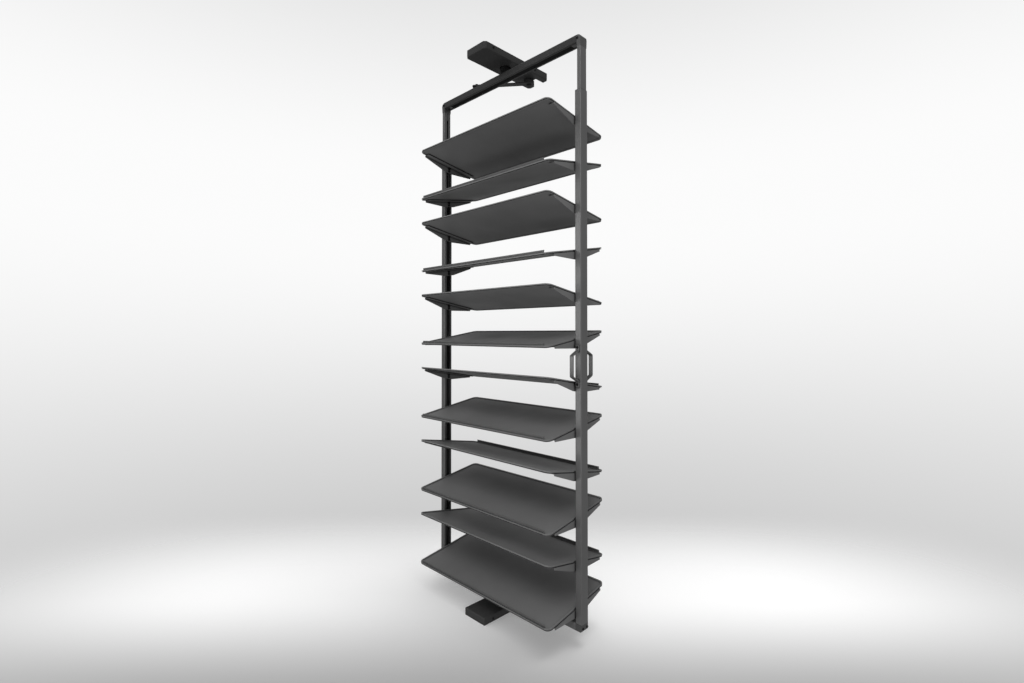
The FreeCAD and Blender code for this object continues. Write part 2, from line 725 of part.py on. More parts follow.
def hub_bush(label, height):
    """Bearing bush: a shoulder under the crossbar, a neck through its back wall and a bore on the pin."""
    bore, neck, hub = "pivot_diameter / 2 + pivot_running_gap", "hub_neck / 2", "hub_diameter / 2"
    return turned(label, (
        (bore, "0"),
        (hub, "0"),
        (hub, height),
        (neck, height),
        (neck, f"{height} + hub_neck_length"),
        (bore, f"{height} + hub_neck_length"),
    ))


def cover_screw_spots(height):
    """Placements of a unit's four cover screws at a height."""
    return [
        driven(f"{side} * cover_width / 2", f"{end} * {COVER_SCREW_Y}", height, (-side, 0, 0))
        for side in (-1, 1) for end in (-1, 1)]


def stop_lever():
    """Lever from its pivot to the stud: a flat arm with an open notch round the stud and a tall hub."""
    body = new_body("stop_lever")
    tip = f"({LEVER_REACH} + lever_tip)"
    outer, inner = "(-lever_width / 4)", "(3 * lever_width / 4)"
    pad(body, rectangle(body, "XY_Plane", ("0", outer), (tip, inner)), "lever_thickness")
    dress(body, "Chamfer", "lever_corner", lambda edge: runs_along(edge, Z_AXIS)
          and near(edge.BoundBox.XMax, tip))
    pad(body, circles(body, "XY_Plane", "hub_diameter", [("0", "0")]), "lever_hub_height")
    pocket(body, circles(body, "XY_Plane", "lever_pin + 2 * pivot_running_gap", [("0", "0")]))
    notch = "(stud_sleeve / 2 + stud_gap)"
    pocket(body, circles(body, "XY_Plane", f"2 * {notch}", [(LEVER_REACH, "0")]))
    mouth = rectangle(
        body, "XY_Plane", (f"{LEVER_REACH} - {notch}", "-lever_width"), (f"{LEVER_REACH} + {notch}", "0"))
    pocket(body, mouth)
    return keep(place(
        body, y=LEVER_PIVOT_Y, z=LEVER_UNDER, angle=f"180 deg + atan({LEVER_PIVOT_Y} / -stud_x)"))


def lever_pivot_pin():
    """Headed pin that hangs from the ceiling plate and carries the lever."""
    pin, head = "lever_pin / 2", "lever_pin_head / 2"
    seat = "(lever_pin_head_height + thrust_gap)"
    top = f"{CEILING_TOP} - plate_thickness - {LEVER_UNDER} + {seat}"
    body = turned("lever_pivot_pin", (
        ("0", "0"),
        (head, "0"),
        (head, "lever_pin_head_height"),
        (pin, "lever_pin_head_height"),
        (pin, top),
        ("0", top),
    ))
    return keep(place(body, y=LEVER_PIVOT_Y, z=f"{LEVER_UNDER} - {seat}"))


def catch_stud():
    """Stud on the top crossbar: a sleeve for the lever and a shank through the back wall."""
    sleeve, shank = "stud_sleeve / 2", "stud_shank / 2"
    foot = "-(profile_wall + stud_nut_height + stud_tail)"
    body = turned("catch_stud", (
        ("0", foot),
        (shank, foot),
        (shank, "0"),
        (sleeve, "0"),
        (sleeve, "stud_height"),
        ("0", "stud_height"),
    ))
    return keep(place(body, x="stud_x", z=FRAME_TOP))


def catch_nut():
    """Hexagon nut that holds the stud under the back wall."""
    body = new_body("catch_nut")
    pad(body, hexagons(body, "XY_Plane", "stud_nut", [("0", "0")]), "stud_nut_height")
    pocket(body, circles(body, "XY_Plane", "stud_shank + 2 * seat_gap", [("0", "0")]))
    return keep(place(body, x="stud_x", z=f"{FRAME_TOP} - profile_wall - stud_nut_height"))


# Trays with their rails, and what holds them to the posts
for tray_index in range(TRAY_COUNT):
    tray(tray_index)
    heel_rail(tray_index)
BRACKETS = [tray_bracket("tray_bracket_a", 1), tray_bracket("tray_bracket_b", -1)]
for name, turn in (("right", 0), ("left", 180)):
    group(f"{name}_tray_brackets", [
        (BRACKETS[(index + turn // 180) % 2], tray_frame(index, turn)) for index in range(TRAY_COUNT)])
BRACKET_BOLTS = tray_bolts()
group("tray_bolts", [
    (BRACKET_BOLTS, FreeCAD.Placement(vector("0", "0", tray_height(index)), FreeCAD.Rotation(Z_AXIS, turn)))
    for index in range(TRAY_COUNT) for turn in (0, 180)])

# Frame
for name, way in (("left", -1), ("right", 1)):
    lower_post(f"{name}_post", way)
    upper_post(f"{name}_telescopic_post", way)
    post_guide(f"{name}_post_guide", way)
    top_corner(f"top_{name}_corner", way)
    bottom_corner(f"bottom_{name}_corner", way)
place(crossbar("top_crossbar", TOP_CORNER_THICKNESS, True), x=f"frame_width / 2 - {TOP_CORNER_THICKNESS}",
      z=f"{FRAME_TOP} - profile_thickness", axis=-Y_AXIS, angle="90")
place(crossbar("bottom_crossbar", "profile_thickness", False), x=f"-{INNER_FACE}",
      z=f"{FRAME_BOTTOM} + profile_thickness", axis=Y_AXIS, angle="90")

# Screws of the frame
CLAMP_ROOM = "profile_thickness - 2 * profile_wall - inner_thickness"
screws("telescope_clamp_screws", f"{CLAMP_ROOM} - seat_gap - telescope_gap - thrust_gap", [
    driven(f"{way} * ({INNER_FACE} + profile_wall + seat_gap)", "0", f"{POST_TOP} - guide_depth / 2",
           (way, 0, 0))
    for way in (-1, 1)])
screws("bottom_corner_screws", "corner_screw_depth - screw_tail", [
    driven(f"{way} * frame_width / 2", f"{end} * corner_screw_inset",
           f"{FRAME_BOTTOM} + profile_thickness / 2", (-way, 0, 0))
    for way in (-1, 1) for end in (-1, 1)])
TOP_CORNER = f"frame_width / 2 - {TOP_CORNER_THICKNESS}"
SPIGOT_UNDER = f"{FRAME_TOP} - profile_thickness + profile_wall + seat_gap"
TOP_CORNER_SPOTS = [
    driven(f"{way} * ({TOP_CORNER} + corner_screw_x)", f"{end} * profile_depth / 2",
           f"{FRAME_TOP} - profile_thickness / 2", (0, -end, 0))
    for way in (-1, 1) for end in (-1, 1)]
TOP_CORNER_SPOTS += [
    driven(f"{way} * ({TOP_CORNER} - spigot_screw_inset)", "0", SPIGOT_UNDER, (0, 0, 1))
    for way in (-1, 1)]
screws("top_corner_screws", f"{SPIGOT_HEIGHT} / 2 - screw_tail", TOP_CORNER_SPOTS)

# Handles on both sides of the post at +X
handle("front_handle", -1)
handle("rear_handle", 1)
screws("handle_screws", "handle_strap + profile_wall + screw_tail", [
    driven("frame_width / 2 - profile_thickness / 2", f"{end} * (profile_depth / 2 + handle_strap)",
           f"{HANDLE_HEIGHT} + {up} * handle_screw_pitch / 2", (0, -end, 0))
    for end in (-1, 1) for up in (-1, 1)])

# Floor unit and its bush
keep(place(pivot_plate(
    "floor_pivot_plate", "cover_height - thrust_washer", f"{FRAME_BOTTOM} + pivot_tail", False)))
keep(place(unit_cover("floor_cover", False)))
COVER_GRIP = "cover_wall + seat_gap + ear_sheet + screw_tail"
screws("floor_cover_screws", COVER_GRIP, cover_screw_spots("cover_screw_height"))
WASHER_BORE = "pivot_diameter / 2 + seat_gap"
keep(place(turned("thrust_washer", (
    (WASHER_BORE, "0"),
    ("hub_diameter / 2", "0"),
    ("hub_diameter / 2", "thrust_washer"),
    (WASHER_BORE, "thrust_washer"),
)), z="cover_height - thrust_washer"))
keep(place(hub_bush("floor_bush", "floor_gap - thrust_gap"), z="cover_height + thrust_gap"))

# Ceiling unit, its bush and the stop
CEILING_PIN = "cover_height + ceiling_gap + pivot_tail"
keep(place(
    pivot_plate("ceiling_pivot_plate", "cover_height - thrust_gap", CEILING_PIN, True),
    z=CEILING_TOP, axis=Y_AXIS, angle="180"))
keep(place(unit_cover("ceiling_cover", True), z=CEILING_TOP, axis=Y_AXIS, angle="180"))
screws("ceiling_cover_screws", COVER_GRIP, cover_screw_spots(f"{CEILING_TOP} - cover_screw_height"))
keep(place(hub_bush("ceiling_bush", "ceiling_gap"), z=CEILING_UNDER, axis=Y_AXIS, angle="180"))
stop_lever()
lever_pivot_pin()
catch_stud()
catch_nut()

DOC.recompute()
for thing in DOC.Objects:
    if "Invalid" in thing.State or "Error" in thing.State:
        raise RuntimeError(f"{thing.Label} did not compute")
for piece in PIECES:
    if piece.Shape.isNull() or not piece.Shape.isValid():
        raise RuntimeError(f"{piece.Label} has no sound shape")
os.makedirs("parts", exist_ok=True)
for piece in PIECES:
    piece.Shape.exportStep(os.path.join("parts", f"{piece.Label}.step"))
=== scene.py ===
"""Shoe carousel: modelled detail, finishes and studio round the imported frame. Lengths are in metres."""

import json
import logging
import math
from abc import ABC, abstractmethod
from dataclasses import dataclass
from enum import Enum

import bmesh
import bpy
from mathutils import Matrix, Quaternion, Vector


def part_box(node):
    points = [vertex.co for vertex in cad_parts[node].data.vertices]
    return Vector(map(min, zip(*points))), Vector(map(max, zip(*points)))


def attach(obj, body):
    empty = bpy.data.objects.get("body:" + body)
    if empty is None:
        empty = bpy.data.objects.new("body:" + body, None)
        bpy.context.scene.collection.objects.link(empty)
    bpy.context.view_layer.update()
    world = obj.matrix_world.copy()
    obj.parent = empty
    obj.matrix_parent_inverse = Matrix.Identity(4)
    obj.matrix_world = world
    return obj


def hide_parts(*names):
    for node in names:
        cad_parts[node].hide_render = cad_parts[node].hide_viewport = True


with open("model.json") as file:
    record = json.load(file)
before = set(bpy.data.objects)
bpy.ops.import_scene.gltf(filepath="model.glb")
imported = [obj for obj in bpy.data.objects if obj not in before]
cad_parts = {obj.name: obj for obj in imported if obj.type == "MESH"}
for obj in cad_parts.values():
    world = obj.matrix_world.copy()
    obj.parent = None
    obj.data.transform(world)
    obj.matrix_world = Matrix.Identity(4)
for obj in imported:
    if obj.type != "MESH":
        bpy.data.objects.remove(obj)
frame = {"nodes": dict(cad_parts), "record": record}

LOG = logging.getLogger("shoe_carousel")
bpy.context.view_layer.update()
FLOOR_NAME = "studio_floor"
MM = 0.001
TRAY_COUNT = 12
TOUCHING = 1e-6
AT_END = 1e-5
FLAT_ANGLE = math.radians(0.5)
SOFT_ANGLE = math.radians(14)
SHARP_ANGLE = math.radians(24)
NOISE_RANGE = (0.3, 0.7)
EDGE_RANGE = (0.995, 0.86)
EDGE_SAMPLES = 6
GAP_RANGE = (0.4, 1.0)
GAP_SAMPLES = 8
MIX_SHARE, MIX_FIRST, MIX_SECOND, MIX_COLOUR = 0, 6, 7, 2
CHANNELS = ("Red", "Green", "Blue")

Value = "Signal | float | tuple[float, ...]"


class Slot(Enum):
    """The record's material slots."""

    TRAY_PAINT = "tray_paint"
    FRAME_PAINT = "frame_paint"
    UNIT_PAINT = "unit_paint"
    DARK_PLASTIC = "dark_plastic"
    BLACK_PLASTIC = "black_plastic"
    BLACK_STEEL = "black_steel"
    ZINC_STEEL = "zinc_steel"


class FloorShare(Enum):
    """What a light does to the studio's floor."""

    NONE = "it lights all but the floor"
    ALL = "it lights the floor alone"


class Signal:
    """A shader value that takes part in sums, each of which adds a Math node."""

    def __init__(self, graph: "Graph", socket: bpy.types.NodeSocket) -> None:
        """Keep the socket and the graph that it belongs to."""
        self.graph = graph
        self.socket = socket

    def _sum(self, operation: str, first: Value, second: Value) -> "Signal":
        """Add a Math node.

        Args:
            operation: The Math node's operation.
            first: Its first operand.
            second: Its second operand.

        Returns:
            The node's result.
        """
        return self.graph.node("ShaderNodeMath", {0: first, 1: second}, operation=operation)

    def __add__(self, other: Value) -> "Signal":
        """This value plus another."""
        return self._sum("ADD", self, other)

    def __sub__(self, other: Value) -> "Signal":
        """This value less another."""
        return self._sum("SUBTRACT", self, other)

    def __mul__(self, other: Value) -> "Signal":
        """This value times another."""
        return self._sum("MULTIPLY", self, other)

    def __rsub__(self, other: Value) -> "Signal":
        """Another value less this one."""
        return self._sum("SUBTRACT", other, self)

    __radd__ = __add__
    __rmul__ = __mul__


class Graph:
    """The node tree of one material or world."""

    def __init__(self, owner: bpy.types.Material | bpy.types.World) -> None:
        """Start from the owner's plain shader.

        Args:
            owner: The material or world that gets the nodes.
        """
        owner.use_nodes = True
        self.owner = owner
        self.tree = owner.node_tree
        shaders = {"BSDF_PRINCIPLED", "BACKGROUND"}
        self.shader = next(node for node in self.tree.nodes if node.type in shaders)

    def plug(self, socket: bpy.types.NodeSocket, value: Value) -> None:
        """Link a signal to a socket, or set a constant on it.

        Args:
            socket: The input to feed.
            value: The signal or the constant.
        """
        if isinstance(value, Signal):
            self.tree.links.new(value.socket, socket)
        else:
            socket.default_value = value

    def node(self, kind: str, sockets: dict, output: str | int = 0, **settings: object) -> Signal:
        """Add any node.

        Args:
            kind: The node's type.
            sockets: Values or links by the input's name or number.
            output: The output's name or number.
            **settings: Properties of the node, set before its sockets.

        Returns:
            The chosen output.
        """
        made = self.tree.nodes.new(kind)
        for name, setting in settings.items():
            setattr(made, name, setting)
        for key, value in sockets.items():
            self.plug(made.inputs[key], value)
        return Signal(self, made.outputs[output])

    def place(self, stretch: tuple[float, float, float] = (1, 1, 1)) -> Signal:
        """Object coordinates, stretched along the axes."""
        where = self.node("ShaderNodeTexCoord", {}, "Object")
        return self.node("ShaderNodeMapping", {"Vector": where, "Scale": stretch})

    def noise(self, where: Signal, scale: float, detail: float = 2.0) -> Signal:
        """Noise from 0 to 1 of a number of cells to the metre."""
        return self.node("ShaderNodeTexNoise", {"Vector": where, "Scale": scale, "Detail": detail})

    def spread(self, value: Signal, low: float, high: float, start: float, end: float) -> Signal:
        """Map a range of a value smoothly onto another range.

        Args:
            value: The value to map.
            low: Where the range starts.
            high: Where the range ends.
            start: The result at low.
            end: The result at high.

        Returns:
            The mapped value, held at the ends.
        """
        sockets = {"Value": value, "From Min": low, "From Max": high, "To Min": start, "To Max": end}
        return self.node("ShaderNodeMapRange", sockets, interpolation_type="SMOOTHSTEP")

    def blend(self, share: Signal, first: Value, second: Value) -> Signal:
        """Mix two colours by a share from 0 to 1."""
        sockets = {MIX_SHARE: share, MIX_FIRST: first, MIX_SECOND: second}
        return self.node("ShaderNodeMix", sockets, MIX_COLOUR, data_type="RGBA")

    def even(self, noise: Signal, start: float = 0.0, end: float = 1.0) -> Signal:
        """Map the usual range of a noise onto another range."""
        return self.spread(noise, *NOISE_RANGE, start, end)

    def towards(self, where: Signal, way: Value) -> Signal:
        """How far a place or a direction reaches along another direction."""
        return self.node("ShaderNodeVectorMath", {0: where, 1: way}, "Value", operation="DOT_PRODUCT")

    def neutral(self, tone: Signal) -> Signal:
        """A neutral colour of a tone that varies."""
        return self.node("ShaderNodeCombineColor", {channel: tone for channel in CHANNELS})

    def edges(self, radius: float) -> Signal:
        """A mask that is 1 on an edge and 0 on a flat.

        Args:
            radius: How far from the edge the mask reaches.

        Returns:
            The mask.
        """
        rounded = self.node("ShaderNodeBevel", {"Radius": radius}, samples=EDGE_SAMPLES)
        plain = self.node("ShaderNodeNewGeometry", {}, "Normal")
        return self.spread(self.towards(rounded, plain), *EDGE_RANGE, 0.0, 1.0)

    def bump(self, height: Signal, depth: float) -> Signal:
        """A normal from a height map of a depth in metres."""
        return self.node("ShaderNodeBump", {"Height": height, "Distance": depth, "Strength": 1.0})

    def crevices(self, reach: float) -> Signal:
        """A mask for painted shade, from ambient occlusion: 1 in the open, falling towards 0 in a corner or a
        gap.

        Args:
            reach: How far away a surface still counts.

        Returns:
            The mask.
        """
        near = self.node("ShaderNodeAmbientOcclusion", {"Distance": reach}, "AO", samples=GAP_SAMPLES)
        return self.spread(near, *GAP_RANGE, 0.0, 1.0)

    def finish(self, **sockets: Value) -> bpy.types.Material | bpy.types.World:
        """Feed the shader.

        Args:
            **sockets: Values or links by the input's name, with underscores for its spaces.

        Returns:
            The finished material or world.
        """
        for name, value in sockets.items():
            self.plug(self.shader.inputs[name.replace("_", " ")], value)
        return self.owner


def grey(tone: float) -> tuple[float, float, float, float]:
    """A neutral colour of a linear tone."""
    return (tone, tone, tone, 1.0)


@dataclass(frozen=True)
class Finish(ABC):
    """A surface finish of the object.

    Attributes:
        slot: The record's slot that it dresses.
        tone: The linear tone of its colour.
        rough: Its mean roughness.
        gloss: Its specular level, the same all over.
        name: Its own name where a slot has more than one finish.
        shades: Its darkest and lightest shade, as shares of the tone.
        sheens: How far its roughness goes from the mean, both ways.
    """

    slot: Slot
    tone: float
    rough: float
    gloss: float = 0.5
    name: str = ""
    shades: tuple[float, float] = (0.7, 1.4)
    sheens: tuple[float, float] = (-0.08, 0.1)

    @property
    def label(self) -> str:
        """The name of the finish's material."""
        return self.name or self.slot.value

    def colour(self, graph: Graph, pattern: Signal) -> Signal:
        """The colour, which a noise varies between the shades."""
        dark, light = (grey(share * self.tone) for share in self.shades)
        return graph.blend(graph.even(pattern), dark, light)

    def sheen(self, graph: Graph, pattern: Signal) -> Signal:
        """The roughness, which a noise varies round its mean."""
        return graph.even(pattern, *(self.rough + change for change in self.sheens))

    @abstractmethod
    def material(self) -> bpy.types.Material:
        """Build the finish's material."""


@dataclass(frozen=True)
class PowderCoat(Finish):
    """Satin powder coat: a fine orange peel, faint clouding, painted shade in corners and gaps, and edges
    that are lighter in patches, partly from wear and partly as a painted highlight.

    Attributes:
        peel_cells: Cells of the orange peel to the metre.
        peel_depth: Depth of the orange peel.
        peel_share: How much the peel adds to the clouding of the sheen.
        sheen_range: Range of that sum over which the sheen varies.
        flake_ratio: Flakes to a cell of the peel.
        flake_share: How much the flakes add to the clouding and to the peel.
        cloud_cells: Clouds to the metre.
        wear_highlight_cells: Patches of edge wear and painted highlight to the metre.
        wear_highlight_range: Range of noise over which the edge wear and painted highlight grow.
        wear_highlight_least: The least edge wear and painted highlight on an edge.
        edge_reach: How far from an edge the wear and painted highlight reach.
        edge_wear_and_highlight_gain: How much lighter the edges are, partly from wear and partly as a painted
            highlight.
        shade_reach: How far the painted shade of a crevice reaches.
        shade_share: The share of the tone that is left in a crevice's painted shade.
    """

    shades: tuple[float, float] = (0.92, 1.08)
    sheens: tuple[float, float] = (0.05, -0.05)
    peel_cells: float = 620.0
    peel_depth: float = 0.11 * MM
    peel_share: float = 0.25
    sheen_range: tuple[float, float] = (0.35, 0.85)
    flake_ratio: float = 3.1
    flake_share: float = 0.3
    cloud_cells: float = 4.2
    wear_highlight_cells: float = 26.0
    wear_highlight_range: tuple[float, float] = (0.3, 0.62)
    wear_highlight_least: float = 0.35
    edge_reach: float = 1.6 * MM
    edge_wear_and_highlight_gain: float = 2.1
    shade_reach: float = 10.0 * MM
    shade_share: float = 0.35

    def material(self) -> bpy.types.Material:
        """Build the coat with its peel, clouding and edges.

        Returns:
            The material.
        """
        graph = Graph(bpy.data.materials.new(self.label))
        where = graph.place()
        peel = graph.noise(where, self.peel_cells)
        flake = graph.noise(where, self.flake_ratio * self.peel_cells, 1.0)
        cloud = graph.noise(where, self.cloud_cells, 3.0)
        unshaded = self.colour(graph, (1 - self.flake_share) * cloud + self.flake_share * flake)
        # Painted shade: the coat is darkened in corners and gaps, where an ambient-occlusion mask finds them.
        coat = graph.blend(graph.crevices(self.shade_reach), grey(self.shade_share * self.tone), unshaded)
        # Partly wear, partly painted highlight: the edges are lighter in patches.
        patches = graph.spread(graph.noise(where, self.wear_highlight_cells), *self.wear_highlight_range, self.wear_highlight_least, 1.0)
        worn_and_highlit = graph.edges(self.edge_reach) * patches
        sheens = (self.rough + change for change in self.sheens)
        return graph.finish(
            Base_Color=graph.blend(worn_and_highlit, coat, grey(self.edge_wear_and_highlight_gain * self.tone)),
            Roughness=graph.spread(cloud + self.peel_share * peel, *self.sheen_range, *sheens),
            Specular_IOR_Level=self.gloss,
            Normal=graph.bump(peel + self.flake_share * flake, self.peel_depth),
        )


@dataclass(frozen=True)
class MouldedPlastic(Finish):
    """Moulded plastic with a spark-eroded grain that is polished where it is handled.

    Attributes:
        grain_cells: Cells of the grain to the metre.
        grain_depth: Depth of the grain.
        flow_cells: Flow marks to the metre.
        flow_stretch: How the flow marks are drawn out.
        polish_reach: How far from an edge the grain is polished.
        polish_share: How much of the polish shows in the colour.
        polish_gain: How much lighter a polished edge is.
        polish_sheen: How much smoother a polished edge is.
    """

    shades: tuple[float, float] = (0.85, 1.2)
    sheens: tuple[float, float] = (-0.04, 0.06)
    grain_cells: float = 1500.0
    grain_depth: float = 0.06 * MM
    flow_cells: float = 18.0
    flow_stretch: tuple[float, float, float] = (1.0, 1.0, 0.35)
    polish_reach: float = 1.2 * MM
    polish_share: float = 0.6
    polish_gain: float = 2.0
    polish_sheen: float = 0.12

    def material(self) -> bpy.types.Material:
        """Build the plastic with its grain and polished edges.

        Returns:
            The material.
        """
        graph = Graph(bpy.data.materials.new(self.label))
        grain = graph.noise(graph.place(), self.grain_cells, 3.0)
        flow = graph.noise(graph.place(self.flow_stretch), self.flow_cells)
        polish = graph.edges(self.polish_reach)
        bright = grey(self.polish_gain * self.tone)
        return graph.finish(
            Base_Color=graph.blend(polish * self.polish_share, self.colour(graph, flow), bright),
            Roughness=self.sheen(graph, flow) - polish * self.polish_sheen,
            Specular_IOR_Level=self.gloss,
            Normal=graph.bump(grain, self.grain_depth),
        )


@dataclass(frozen=True)
class TurnedPlastic(Finish):
    """Bearing plastic with fine turning marks round the pivot's axis.

    Attributes:
        groove_cells: Turning marks to the metre.
        groove_stretch: How the marks are drawn out round the axis.
        groove_depth: Depth of the marks.
        smear_cells: Smears of grease to the metre.
    """

    sheens: tuple[float, float] = (-0.06, 0.08)
    groove_cells: float = 700.0
    groove_stretch: tuple[float, float, float] = (0.02, 0.02, 1.0)
    groove_depth: float = 0.05 * MM
    smear_cells: float = 60.0

    def material(self) -> bpy.types.Material:
        """Build the plastic with its turning marks.

        Returns:
            The material.
        """
        graph = Graph(bpy.data.materials.new(self.label))
        marks = graph.noise(graph.place(self.groove_stretch), self.groove_cells)
        smear = graph.noise(graph.place(), self.smear_cells)
        return graph.finish(
            Base_Color=self.colour(graph, 0.5 * marks + 0.5 * smear),
            Roughness=self.sheen(graph, smear),
            Specular_IOR_Level=self.gloss,
            Normal=graph.bump(marks, self.groove_depth),
        )


@dataclass(frozen=True)
class BlackenedSteel(Finish):
    """Blackened steel of screws and bolts, rubbed bare on its edges.

    Attributes:
        bare_tone: The linear tone of the bare steel.
        rub_reach: How far from an edge the steel is rubbed.
        rub_range: Range of noise over which the rubbing grows.
        rub_least: The least rubbing on an edge.
        stain_cells: Stains to the metre.
        pit_cells: Pits to the metre.
        pit_depth: Depth of the pits.
    """

    shades: tuple[float, float] = (0.7, 1.5)
    bare_tone: float = 0.05
    rub_reach: float = 0.5 * MM
    rub_range: tuple[float, float] = (0.35, 0.65)
    rub_least: float = 0.2
    stain_cells: float = 240.0
    pit_cells: float = 1900.0
    pit_depth: float = 0.03 * MM

    def material(self) -> bpy.types.Material:
        """Build the black oxide with its rubbed edges.

        Returns:
            The material.
        """
        graph = Graph(bpy.data.materials.new(self.label))
        where = graph.place()
        stain = graph.noise(where, self.stain_cells, 3.0)
        pits = graph.noise(where, self.pit_cells)
        rubbed = graph.edges(self.rub_reach) * graph.spread(stain, *self.rub_range, self.rub_least, 1.0)
        return graph.finish(
            Base_Color=graph.blend(rubbed, self.colour(graph, stain), grey(self.bare_tone)),
            Roughness=self.sheen(graph, stain),
            Specular_IOR_Level=self.gloss,
            Normal=graph.bump(pits, self.pit_depth),
        )


@dataclass(frozen=True)
class ZincPlate(Finish):
    """Zinc-plated steel with rolling streaks and a cloudy passivation.

    Attributes:
        streak_cells: Streaks to the metre.
        streak_stretch: How the streaks are drawn out along the rolling.
        streak_depth: Depth of the streaks.
        cloud_cells: Clouds to the metre.
    """

    shades: tuple[float, float] = (0.75, 1.15)
    streak_cells: float = 380.0
    streak_stretch: tuple[float, float, float] = (1.0, 0.03, 1.0)
    streak_depth: float = 0.03 * MM
    cloud_cells: float = 45.0

    def material(self) -> bpy.types.Material:
        """Build the plating with its streaks and clouding.

        Returns:
            The material.
        """
        graph = Graph(bpy.data.materials.new(self.label))
        streak = graph.noise(graph.place(self.streak_stretch), self.streak_cells, 3.0)
        cloud = graph.noise(graph.place(), self.cloud_cells, 3.0)
        return graph.finish(
            Base_Color=self.colour(graph, 0.5 * streak + 0.5 * cloud),
            Roughness=self.sheen(graph, 0.6 * cloud + 0.4 * streak),
            Metallic=1.0,
            Normal=graph.bump(streak, self.streak_depth),
        )


# The heel rails get a darker copy of the tray paint: painted shade for their upright faces.
RAIL_SHADED_COAT = "rail_shaded_paint"
FINISHES = (
    # Each powder coat's crevice darkening is painted shade, and its lighter edges are partly wear and partly
    # a painted highlight.
    PowderCoat(Slot.TRAY_PAINT, tone=0.150, rough=0.55, gloss=0.10, edge_wear_and_highlight_gain=1.05, shade_share=0.12),
    PowderCoat(Slot.TRAY_PAINT, tone=0.105, rough=0.55, gloss=0.10, edge_wear_and_highlight_gain=1.05, shade_share=0.12,
               name=RAIL_SHADED_COAT),
    PowderCoat(Slot.FRAME_PAINT, tone=0.088, rough=0.36, gloss=0.50, edge_wear_and_highlight_gain=1.8, shade_share=0.5),
    PowderCoat(Slot.UNIT_PAINT, tone=0.037, rough=0.48, gloss=0.12, edge_wear_and_highlight_gain=1.6, shade_share=0.8),
    MouldedPlastic(Slot.DARK_PLASTIC, tone=0.055, rough=0.38, gloss=0.45),
    TurnedPlastic(Slot.BLACK_PLASTIC, tone=0.008, rough=0.42, gloss=0.12),
    BlackenedSteel(Slot.BLACK_STEEL, tone=0.006, rough=0.46, gloss=0.12),
    ZincPlate(Slot.ZINC_STEEL, tone=0.48, rough=0.36),
)


def sharp_edges(shape: bmesh.types.BMesh, angle: float = SHARP_ANGLE) -> list[bmesh.types.BMEdge]:
    """The edges of a shape that turn by more than an angle."""
    return [e for e in shape.edges if e.is_manifold and e.calc_face_angle(0.0) > angle]


def ease(shape: bmesh.types.BMesh, width: float, segments: int = 2,
         edges: list[bmesh.types.BMEdge] | None = None) -> bmesh.types.BMesh:
    """Round the edges of a shape.

    Args:
        shape: The shape to change.
        width: How far the rounding reaches from each edge.
        segments: Strips across the rounding.
        edges: The edges to round, or all sharp ones.

    Returns:
        The same shape.
    """
    chosen = sharp_edges(shape) if edges is None else edges
    bmesh.ops.bevel(shape, geom=chosen, offset=width, offset_type="OFFSET", segments=segments,
                    profile=0.5, affect="EDGES", clamp_overlap=True, material=-1)
    return shape


def turned(outline: list[tuple[float, float]], steps: int = 48) -> bmesh.types.BMesh:
    """Turn an outline of radius and height about the Z axis.

    Args:
        outline: Points from end to end. An outline that closes on itself makes a ring.
        steps: Facets round the axis.

    Returns:
        The closed shape, facing outwards.
    """
    shape = bmesh.new()
    points = [shape.verts.new((radius, 0.0, height)) for radius, height in outline]
    lines = [shape.edges.new(pair) for pair in zip(points, points[1:])]
    bmesh.ops.spin(shape, geom=points + lines, cent=(0, 0, 0), axis=(0, 0, 1), angle=math.tau,
                   steps=steps, use_merge=True)
    bmesh.ops.remove_doubles(shape, verts=shape.verts, dist=TOUCHING)
    bmesh.ops.dissolve_degenerate(shape, edges=shape.edges, dist=TOUCHING)
    bmesh.ops.recalc_face_normals(shape, faces=shape.faces)
    return shape


def moved(shape: bmesh.types.BMesh, where: Matrix) -> bmesh.types.BMesh:
    """Put a shape at a place."""
    bmesh.ops.transform(shape, matrix=where, verts=shape.verts)
    return shape


def joined(shapes: list[bmesh.types.BMesh]) -> bmesh.types.BMesh:
    """Make one shape of several.

    Args:
        shapes: The shapes. They are used up.

    Returns:
        The whole.
    """
    whole = bmesh.new()
    for shape in shapes:
        carrier = bpy.data.meshes.new("carrier")
        shape.to_mesh(carrier)
        whole.from_mesh(carrier)
        bpy.data.meshes.remove(carrier)
        shape.free()
    return whole


def merged_copy(node: str) -> bmesh.types.BMesh:
    """Copy a CAD node, with its loose triangles merged and its flats made whole.

    Args:
        node: The CAD node.

    Returns:
        The closed copy.
    """
    shape = bmesh.new()
    shape.from_mesh(frame["nodes"][node].data)
    bmesh.ops.remove_doubles(shape, verts=shape.verts, dist=TOUCHING)
    bmesh.ops.dissolve_limit(shape, angle_limit=FLAT_ANGLE, verts=shape.verts, edges=shape.edges)
    return shape


def islands(shape: bmesh.types.BMesh) -> list[list[Vector]]:
    """Find the separate solids in a shape.

    Args:
        shape: The shape to look through.

    Returns:
        The points of each solid.
    """
    found, seen = [], set()
    for start in shape.verts:
        if start in seen:
            continue
        seen.add(start)
        queue, points = [start], []
        while queue:
            vert = queue.pop()
            points.append(vert.co.copy())
            near = [edge.other_vert(vert) for edge in vert.link_edges]
            fresh = [other for other in near if other not in seen]
            seen.update(fresh)
            queue.extend(fresh)
        found.append(points)
    return found


